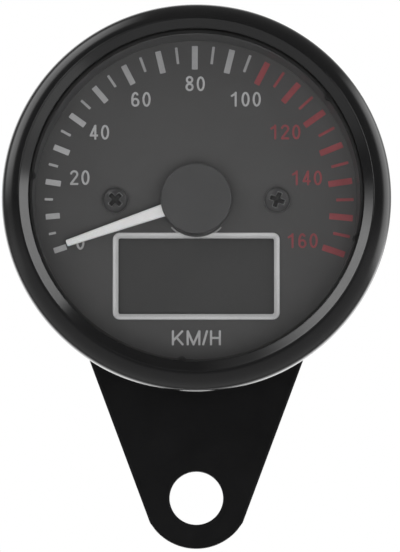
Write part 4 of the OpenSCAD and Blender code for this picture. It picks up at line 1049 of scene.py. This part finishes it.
def new_group(name, inputs, output, parts=1):
    """Empty node group with a place and the named inputs, and one output of 1, 3 or 4 parts."""
    tree = bpy.data.node_groups.new(name, "ShaderNodeTree")
    tree.interface.new_socket("Vector", in_out="INPUT", socket_type=SOCKET_TYPES[3])
    for label, value in inputs.items():
        socket = tree.interface.new_socket(label, in_out="INPUT", socket_type=SOCKET_TYPES[np.size(value)])
        socket.default_value = value
    tree.interface.new_socket(output, in_out="OUTPUT", socket_type=SOCKET_TYPES[parts])
    nodes = Nodes(tree)
    given = {socket.name: Value(nodes, socket) for socket in nodes.add("NodeGroupInput").outputs}
    return tree, nodes, given, nodes.add("NodeGroupOutput")


grain, g, given, out = new_group("surface grain", {"Size": 0.0004}, "Height")
per_metre = 1.0 / given["Size"]
fine = g.noise(given["Vector"], per_metre, 3.0, 0.6)
broad = g.noise(given["Vector"], per_metre * 0.31)
g.fill(out, {"Height": fine * 0.65 + broad * 0.35})

blotch, g, given, out = new_group("soft blotches", {
    "Size": 0.006, "Color": (0.5, 0.5, 0.5, 1), "Change": 0.15}, "Color", parts=4)
spread = g.remap(g.noise(given["Vector"], 1.0 / given["Size"], 4.0, 0.55, 0.4), 0.3, 0.7, -1.0, 1.0)
g.fill(out, {"Color": g.vector("SCALE", given["Color"], Scale=spread * given["Change"] + 1.0)})

# Edge wear; on the dial screws the same mask gives a painted glint.
edge_wear_and_glints, g, given, out = new_group("edge wear and glints", {"Amount": 0.3, "Size": 0.0012}, "Mask")
edge = Value(g, g.add("ShaderNodeAttribute", attribute_name="edge").outputs["Fac"])
wear_and_glint_level = edge * 0.6 + g.noise(given["Vector"], 1.0 / given["Size"], 5.0, 0.7) * 0.9
wear_and_glint = g.remap(wear_and_glint_level, 1.25 - given["Amount"], 1.5 - given["Amount"])
g.fill(out, {"Mask": g.math("MULTIPLY", wear_and_glint, edge, clamp=True)})

dust, g, given, out = new_group("settled dust", {"Amount": 0.1}, "Mask")
up = g.xyz(g.add("ShaderNodeNewGeometry").outputs["Normal"])[2]
specks = g.remap(g.noise(given["Vector"], 2600.0, 4.0, 0.7), 0.42, 0.7)
clouds = g.remap(g.noise(given["Vector"], 160.0), 0.35, 0.7)
cover = g.remap(up, 0.2, 1.0) * (specks * 0.6 + clouds * 0.4)
g.fill(out, {"Mask": g.math("MULTIPLY", cover, given["Amount"], clamp=True)})

drawn, g, given, out = new_group("drawn lines", {"Size": 0.00012, "Stretch": (1.0, 0.03, 1.0)}, "Height")
pulled = g.vector("MULTIPLY", given["Vector"], given["Stretch"])
g.fill(out, {"Height": g.noise(pulled, 1.0 / given["Size"], 3.0, 0.6)})
print("groups", [group.name for group in bpy.data.node_groups])

# %% [markdown]
# ## One recipe for a solid finish
# Paint, plastic, rubber, print and metal differ in numbers more than in kind. One recipe therefore builds
# them all: the blotches vary the colour, edge wear and dust are laid over it, and the grain drives both the
# roughness and a small bump. On the dial screws that edge colour is a painted glint, not wear. Values that
# are the same all over, such as the metal of a bare part, are set on the shader itself. What only one finish
# has, such as the tracks of the circuit board or the layers of the stator, is a tint that it passes in. A
# tint is a function that changes the colour from the place on the object.

# %% Finish recipe
MICRON = 1e-6
DUST_COLOR = (0.32, 0.3, 0.27)


def start_material(name):
    """Empty material with its output and Principled shader, and the Object coordinates."""
    material = bpy.data.materials.new(name)
    material.use_nodes = True
    material.node_tree.nodes.clear()
    nodes = Nodes(material.node_tree)
    shader = nodes.add("ShaderNodeBsdfPrincipled")
    output = nodes.add("ShaderNodeOutputMaterial", {"Surface": shader.outputs[0]})
    where = nodes.add("ShaderNodeTexCoord").outputs["Object"]
    return material, nodes, shader, output, where


def finish(name, color, roughness, grain_mm, bump_micron, spread=0.08, change=0.12, patch_mm=6, metallic=0.0,
           coat=0.0, coat_roughness=0.1, subsurface=0.0, wear_and_glint=0.0, wear_and_glint_color=(0.3, 0.3, 0.3), dusty=0.0,
           specular=0.5, lines=None, tint=None):
    """Material from the recipe. spread is how far the roughness varies, change how far the colour does over
    patches, and lines is how the place is scaled where drawn lines take the place of the grain."""
    material, nodes, shader, output, where = start_material(name)
    shade = nodes.group(blotch, Vector=where, Size=patch_mm * MM, Color=(*color, 1), Change=change)
    if tint:
        shade = tint(nodes, where, shade)
    if lines:
        height = nodes.group(drawn, Vector=where, Size=grain_mm * MM, Stretch=lines)
    else:
        height = nodes.group(grain, Vector=where, Size=grain_mm * MM)
    rough = nodes.remap(height, 0.3, 0.7, roughness - spread, roughness + spread)
    if wear_and_glint:
        mask = nodes.group(edge_wear_and_glints, Vector=where, Amount=wear_and_glint)
        shade = nodes.mix(mask, shade, wear_and_glint_color)
        rough = rough + mask * 0.12
    if dusty:
        mask = nodes.group(dust, Vector=where, Amount=dusty)
        shade = nodes.mix(mask, shade, DUST_COLOR)
        rough = rough + mask * 0.4
    relief = nodes.add("ShaderNodeBump", {
        "Height": height, "Distance": bump_micron * MICRON, "Strength": 1.0})
    nodes.fill(shader, {
        "Base Color": shade, "Roughness": nodes.math("MINIMUM", rough, 0.97), "Normal": relief.outputs[0],
        "Metallic": metallic, "Coat Weight": coat, "Coat Roughness": coat_roughness, "IOR": 1.5,
        "Specular IOR Level": specular, "Subsurface Weight": subsurface})
    if subsurface:
        nodes.fill(shader, {"Subsurface Scale": 0.6 * MM})
    return material


# %% [markdown]
# ## Tints
# A few finishes change from place to place in a way that the blotches can't give, such as lines or a band.
# They could be painted as images, but a mask that is worked out from the place on the object needs no image
# and stays sharp from near by. Each tint mixes another colour in where its mask is 1. Three of them paint
# shade: in the recesses of the dial screws, on the outer marks near the top and on the frame's bars next to
# the window.

# %% Tints
MARK_ZONE_R = 20.2
WALL_ZONE_R = 23.5
TRACK_PITCH = 0.9


def painted_recess_shade(nodes, where, shade):
    """Painted shade in the cross recess of a dial screw: darker near the screw's axis and below the top of
    its head."""
    x, y, z = nodes.xyz(where)
    away = nodes.length(abs(x) - SCREW_X * MM, z - AXIS_Z)
    inside = nodes.remap(away, (ARM_REACH + 0.1) * MM, ARM_REACH * MM)
    deep = nodes.remap(y, FRONT + (SCREW_TOP + 0.12) * MM, FRONT + (SCREW_TOP + 0.5) * MM)
    return nodes.mix(inside * deep, shade, (0.03, 0.03, 0.03))


def painted_top_shade(nodes, where, shade):
    """Painted shade: the outer marks are darkened towards the top of the dial."""
    x, _, z = nodes.xyz(where)
    up = z - AXIS_Z
    high = nodes.remap(up, 8 * MM, 20 * MM, 0.0, 0.27)
    outer = nodes.remap(nodes.length(x, up), MARK_ZONE_R * MM, (MARK_ZONE_R + 0.2) * MM)
    return nodes.mix(high * outer, shade, (0.08, 0.08, 0.081))


def pale_wall(nodes, where, shade):
    """The spacer is moulded in the hub's grey, and its wall is given a paler grey."""
    x, _, z = nodes.xyz(where)
    wall = nodes.remap(nodes.length(x, z - AXIS_Z), WALL_ZONE_R * MM, (WALL_ZONE_R + 0.5) * MM)
    return nodes.mix(wall, shade, (0.1, 0.1, 0.101))


def painted_window_shade(nodes, where, shade):
    """Painted shade: the bars of the display frame are darkened towards the window."""
    x, _, z = nodes.xyz(where)
    beside = abs(x) - WINDOW_W / 2 * MM
    above = abs(z - (AXIS_Z + WINDOW_Y * MM)) - WINDOW_H / 2 * MM
    beyond = nodes.math("MAXIMUM", beside, above)
    return nodes.mix(nodes.remap(beyond, 0.7 * MM, 0.2 * MM, 0.0, 0.5), shade, (0.38, 0.38, 0.38))


def lined(axis, pitch_mm, share, color):
    """Tint with lines across one axis: a line covers its share of each pitch."""
    def tint(nodes, where, shade):
        place = nodes.math("FRACT", nodes.xyz(where)["XYZ".index(axis)] / (pitch_mm * MM))
        return nodes.mix(nodes.remap(abs(place - 0.5), share / 2 + 0.04, share / 2 - 0.04), shade, color)
    return tint


def sleeve_band(nodes, where, shade):
    """Pale band along one side of the capacitor's sleeve, which marks its negative lead."""
    low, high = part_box("smoothing_capacitor")
    middle_x, middle_z, radius = (low.x + high.x) / 2, (low.z + high.z) / 2, (high.x - low.x) / 2
    x, y, z = nodes.xyz(where)
    beside = nodes.remap(abs(z - middle_z), 0.4 * radius, 0.36 * radius)
    outer = nodes.remap(x, middle_x - 0.3 * radius, middle_x - 0.35 * radius)
    wall = nodes.remap(y, high.y - 0.2 * MM, high.y - 0.3 * MM)
    return nodes.mix(wall * beside * outer, shade, (0.5, 0.52, 0.56))


def copper_tracks(nodes, where, shade):
    """Tracks under the solder mask: the board is split into square fields, in which lines run along x or z,
    and tinned pads sit on the lines in some of the fields."""
    fields = nodes.add("ShaderNodeTexVoronoi", {"Vector": where, "Scale": 150.0}, distance="CHEBYCHEV")
    red, green, blue = nodes.xyz(fields.outputs["Color"])
    x, _, z = nodes.xyz(where)
    cells = [abs(nodes.math("FRACT", at / (TRACK_PITCH * MM)) - 0.5) for at in (x, z)]
    runs = [nodes.remap(cell, 0.2, 0.16) for cell in cells]
    along = red > 0.5
    tracks = along * runs[0] + (1.0 - along) * runs[1]
    shade = nodes.mix(tracks * (green > 0.35), shade, (0.045, 0.2, 0.085))
    pad = nodes.remap(nodes.length(*cells), 0.3, 0.26) * (blue > 0.8)
    return nodes.mix(pad, shade, (0.6, 0.6, 0.58))


# %% [markdown]
# ## The finishes
# Each slot of the record gets its finish. A row gives the name, the colour, the roughness, the grain in
# millimetres and the bump in thousandths of one, then how far roughness and colour vary, and what else it
# needs.

# %% Finishes
finishes = {
    "black_enamel": finish("black enamel", (0.0055, 0.0055, 0.0058), 0.17, 0.7, 3, 0.03, 0.15, wear_and_glint=0.06,
                           wear_and_glint_color=(0.05, 0.05, 0.052), dusty=0.02, coat=0.5, coat_roughness=0.08),
    "bracket_coat": finish("black powder coat", (0.0055, 0.0055, 0.0058), 0.55, 0.4, 20, 0.08, 0.2, wear_and_glint=0.1,
                           wear_and_glint_color=(0.04, 0.04, 0.042), dusty=0.03, specular=0.2),
    "black_rubber": finish("black rubber", (0.015, 0.015, 0.015), 0.72, 0.3, 10, 0.08, 0.2, dusty=0.12),
    "black_plastic": finish("moulded black plastic", (0.014, 0.014, 0.015), 0.5, 0.25, 12, 0.06, 0.12,
                            dusty=0.08, wear_and_glint=0.15, wear_and_glint_color=(0.06, 0.06, 0.062)),
    "dial_face": finish("printed dial", (0.079, 0.0782, 0.0785), 0.66, 0.06, 0.4, 0.03, 0.05, patch_mm=12),
    # The grey ink's tint is painted shade on the outer marks near the top.
    "grey_print": finish("grey ink", (0.49, 0.49, 0.495), 0.6, 0.15, 3, 0.05, 0.08, patch_mm=2,
                         tint=painted_top_shade),
    "red_print": finish("red ink", (0.285, 0.066, 0.075), 0.6, 0.15, 3, 0.05, 0.1, patch_mm=2),
    # The frame's tint is painted shade on its bars towards the window.
    "silver_frame": finish("silver frame", (0.76, 0.76, 0.765), 0.42, 0.2, 2, 0.05, 0.05, metallic=0.12,
                           wear_and_glint=0.75, wear_and_glint_color=(0.4, 0.4, 0.4), tint=painted_window_shade),
    # Dial screws: their light edge colour is a painted glint on the cross, and their tint is painted shade in
    # the recess.
    "black_screws": finish("blackened steel", (0.068, 0.068, 0.069), 0.36, 0.3, 4, 0.08, 0.25, metallic=0.3,
                           wear_and_glint=0.62, wear_and_glint_color=(0.3, 0.3, 0.305), tint=painted_recess_shade),
    "needle_white": finish("white needle", (0.87, 0.87, 0.875), 0.42, 0.3, 3, 0.05, 0.03, subsurface=0.1),
    "hub_grey": finish("dark grey hub", (0.068, 0.068, 0.069), 0.5, 0.1, 1, 0.04, 0.05, wear_and_glint=0.45,
                       wear_and_glint_color=(0.13, 0.13, 0.132), tint=pale_wall),
    "bright_steel": finish("ground steel", (0.55, 0.56, 0.58), 0.28, 0.1, 2, 0.08, 0.05, metallic=1.0,
                           lines=(1.0, 0.05, 1.0)),
    "nylon": finish("natural nylon", (0.72, 0.69, 0.6), 0.45, 0.3, 4, 0.06, 0.04, subsurface=0.3),
    "display_dark": finish("dark display glass", (0.054, 0.054, 0.054), 0.35, 1.2, 0.3, 0.03, 0.04,
                           patch_mm=10),
    "light_guide": finish("clear guide", (0.75, 0.8, 0.83), 0.16, 0.8, 2, 0.05, 0.03),
    "strip_rubber": finish("striped strip", (0.2, 0.12, 0.13), 0.6, 0.2, 3,
                           tint=lined("X", 0.36, 0.5, (0.02, 0.02, 0.022))),
    "white_plastic": finish("white plastic", (0.72, 0.72, 0.7), 0.42, 0.3, 5, 0.06, 0.04, subsurface=0.1),
    "board_green": finish("solder mask", (0.02, 0.10, 0.045), 0.3, 0.3, 6, 0.06, 0.1, coat=0.3,
                          tint=copper_tracks),
    "small_steel": finish("plated steel", (0.5, 0.5, 0.51), 0.3, 0.2, 3, 0.08, 0.08, metallic=1.0),
    "lamp_resin": finish("lamp resin", (0.85, 0.8, 0.5), 0.2, 0.5, 2, 0.05, 0.05, subsurface=0.4),
    "chip_black": finish("moulded epoxy", (0.02, 0.02, 0.022), 0.55, 0.1, 4),
    "capacitor_sleeve": finish("shrunk sleeve", (0.02, 0.04, 0.12), 0.25, 0.6, 4, 0.05, 0.08,
                               tint=sleeve_band),
    "header_cream": finish("cream housing", (0.72, 0.67, 0.55), 0.4, 0.3, 4, 0.05, 0.06),
    "brass_part": finish("plain brass", (0.62, 0.43, 0.17), 0.3, 0.1, 3, 0.08, 0.08, metallic=1.0),
    "motor_plastic": finish("motor cover", (0.03, 0.03, 0.033), 0.45, 0.3, 8, 0.06, 0.1),
    "core_steel": finish("stacked iron", (0.3, 0.31, 0.33), 0.4, 0.12, 10, 0.08, 0.1, metallic=0.9,
                         tint=lined("Y", 0.5, 0.2, (0.06, 0.06, 0.065))),
    "copper_wire": finish("copper winding", (0.6, 0.25, 0.1), 0.32, 0.2, 10, 0.08, 0.1, metallic=0.8,
                          tint=lined("Z", 0.3, 0.25, (0.2, 0.06, 0.02))),
    "magnet_grey": finish("sintered magnet", (0.08, 0.08, 0.085), 0.6, 0.15, 10, 0.1, 0.2, metallic=0.3),
    "zinc_plate": finish("bright zinc", (0.52, 0.53, 0.54), 0.3, 0.4, 6, 0.1, 0.1, metallic=1.0, wear_and_glint=0.3,
                         wear_and_glint_color=(0.35, 0.34, 0.33), dusty=0.1),
}
print(len(finishes), "finishes")

# %% [markdown]
# ## Clear lens
# Acrylic has a refractive index near 1.49. The lens is a closed body, so the shader bends light at both
# sides. Light for the dial would be lost behind a refracting body, so shadow and diffuse rays pass a
# transparent shader, which a thin clear disc hardly changes.

# %% Lens material
lens_clear, nodes, shader, output, where = start_material("clear acrylic")
smears = nodes.group(grain, Vector=where, Size=4 * MM)
nodes.fill(shader, {"Base Color": (0.97, 0.97, 0.97, 1), "Transmission Weight": 1.0, "IOR": 1.49,
                    "Roughness": nodes.remap(smears, 0.45, 0.75, 0.0, 0.06)})
through = nodes.add("ShaderNodeBsdfTransparent", {"Color": (0.94, 0.94, 0.94, 1)})
rays = nodes.add("ShaderNodeLightPath").outputs
soft = nodes.math("MAXIMUM", rays["Is Shadow Ray"], rays["Is Diffuse Ray"])
blend = nodes.add("ShaderNodeMixShader", {0: soft, 1: shader.outputs[0], 2: through.outputs[0]})
nodes.fill(output, {"Surface": blend.outputs[0]})
finishes["clear_lens"] = lens_clear
print(lens_clear.name, "has", len(lens_clear.node_tree.nodes), "nodes")

# %% [markdown]
# ## Dressing every piece
# Each new piece and each node that is carried over from the frame takes the finish of its slot in the
# record.

# %% Materials onto pieces
for node, mesh_object in frame["nodes"].items():
    mesh_object.data.materials.clear()
    mesh_object.data.materials.append(finishes[slot_of[node]])
for piece, slot in pieces.values():
    piece.data.materials.append(finishes[slot])
print("dressed", len(frame["nodes"]), "nodes and", len(pieces), "pieces")

# %% [markdown]
# ## Studio
# The photograph was taken from slightly below the dial's axis against white. The floor lies well below the
# gauge. A wide soft lamp stands low in front, weak ones to the upper left and right and one behind, and the
# world gives plain ambient light. The lamps light colours only, and mirrors don't see them.

# %% Camera, floor and lamps
AIM = Vector((0.00058, -0.0405, 0.03132))
CAMERA_LIFT = -5.8
FLOOR_Z = -0.5
FLOOR_HALF = 3
FLOOR_GLOW = 0.42


def look_from(place, thing):
    """Put a camera or a lamp at a place, looking at the gauge."""
    thing.location = place
    thing.rotation_euler = (Vector(place) - AIM).to_track_quat("Z", "Y").to_euler()


camera_data = bpy.data.cameras.new("camera")
camera_data.lens = 426.5
camera_data.sensor_width = 36
camera = new_object("camera", camera_data)
look_from(AIM + Vector((0, -cos(radians(CAMERA_LIFT)), sin(radians(CAMERA_LIFT)))), camera)
bpy.context.scene.camera = camera

floor_mesh = bpy.data.meshes.new("floor")
floor_corners = [(x * FLOOR_HALF, y * FLOOR_HALF, FLOOR_Z) for x, y in ((-1, -1), (1, -1), (1, 1), (-1, 1))]
floor_mesh.from_pydata(floor_corners, [], [(0, 1, 2, 3)])
floor = new_object("floor", floor_mesh)
paper, nodes, shader, output, where = start_material("pale paper")
shade = nodes.group(blotch, Vector=where, Size=0.3, Color=(0.82, 0.82, 0.82, 1), Change=0.02)
seen = nodes.add("ShaderNodeLightPath").outputs["Is Camera Ray"]
glow = nodes.math("MULTIPLY", seen, FLOOR_GLOW)
nodes.fill(shader, {"Base Color": shade, "Roughness": 0.8, "Emission Color": (1, 1, 1, 1),
                    "Emission Strength": glow})
floor_mesh.materials.append(paper)
floor.visible_glossy = False


def soft_lamp(name, place, width, height, watts):
    """Area lamp that looks at the gauge. It lights the colours, and what mirrors show comes from the
    room."""
    data = bpy.data.lights.new(name, "AREA")
    data.shape = "RECTANGLE"
    data.size, data.size_y = width, height
    data.energy = watts
    lamp = new_object(name, data)
    look_from(place, lamp)
    lamp.visible_camera = lamp.visible_glossy = lamp.visible_transmission = False


soft_lamp("lamp left", (-0.76, -0.61, 0.48), 0.6, 0.6, 1.2)
soft_lamp("lamp right", (0.82, -0.61, 0.37), 0.6, 0.6, 1.1)
soft_lamp("lamp front", (0, -1.3, -0.31), 1.2, 0.6, 10.8)
soft_lamp("lamp back", (-0.5, 1.1, 0.6), 0.8, 0.8, 5.0)
print("camera at", [round(number, 3) for number in camera.location])

# %% [markdown]
# ## The room that mirrors see
# A glossy black bezel shows its room instead of its colour. Large white cards could stand in for that room,
# but cards would also light the dial. So what mirrors see is drawn into the world by direction: a white
# backdrop behind, a dim room in front and a few soft strips of light at the sides. Only mirrored and bent
# rays meet it. The camera sees plain white, and everything else gets even ambient light.

# %% The room that mirrors see
world = bpy.data.worlds.new("studio")
bpy.context.scene.world = world
world.use_nodes = True
world.node_tree.nodes.clear()
w = Nodes(world.node_tree)
rays = w.add("ShaderNodeLightPath").outputs
look = w.add("ShaderNodeTexCoord").outputs["Generated"]
look_y = w.xyz(look)[1]
flat_look = w.vector("NORMALIZE", w.vector("MULTIPLY", look, (1.0, 0.0, 1.0)))


def smooth(value, low, high, to=1.0):
    """Smooth rise from 0 at low to the value to at high."""
    return w.remap(value, low, high, 0.0, to, interpolation_type="SMOOTHSTEP")


def wedge(angle, half, soft, strength=1.0):
    """Strength within half degrees of an angle round the gauge's axis, fading over soft degrees more."""
    near = w.vector("DOT_PRODUCT", flat_look, (cos(radians(angle)), 0, sin(radians(angle))), output=1)
    return smooth(near, cos(radians(half + soft)), cos(radians(half)), strength)


def strip(angle, half, soft, start, end, fade, strength):
    """Soft light strip: a wedge times the part that lies start to end degrees away from straight ahead."""
    rise = smooth(look_y, -cos(radians(start - fade)), -cos(radians(start)))
    fall = smooth(look_y, -cos(radians(end + fade)), -cos(radians(end)))
    return wedge(angle, half, soft, strength) * (rise * fall)


AMBIENT = 0.35
DIM_ROOM = 0.1
# Angle, half width and soft edge of the wedge, then start, end, fade and strength.
STRIPS = [
    (24, 19, 6, 46, 61, 4, 2.9), (-22, 18, 8, 46, 61, 4, 0.42), (142, 14, 22, 46, 61, 4, 3.2),
    (118, 14, 14, 46, 61, 4, 0.6), (270, 68, 20, 40, 60, 3, 0.32), (270, 75, 20, 80, 130, 8, 0.17),
    (176, 14, 12, 102, 114, 10, 0.1), (140, 16, 22, 104, 124, 9, 1.0), (14, 18, 16, 118, 140, 14, 0.75)]
room = smooth(look_y, 0.78, 0.95, 1.3) * (1.0 - wedge(42, 30, 18, 0.85)) + DIM_ROOM
for values in STRIPS:
    room = room + strip(*values)
mirror = w.math("MAXIMUM", rays["Is Glossy Ray"], rays["Is Transmission Ray"])
ambient = mirror * room + (1.0 - mirror) * AMBIENT
strength = w.math("MAXIMUM", ambient, rays["Is Camera Ray"])
light = w.add("ShaderNodeBackground", {"Color": (1, 1, 1, 1), "Strength": strength})
w.add("ShaderNodeOutputWorld", {"Surface": light.outputs[0]})
bpy.context.scene.view_settings.view_transform = "Standard"
print("lamps", len(bpy.data.lights), "strips", len(STRIPS))
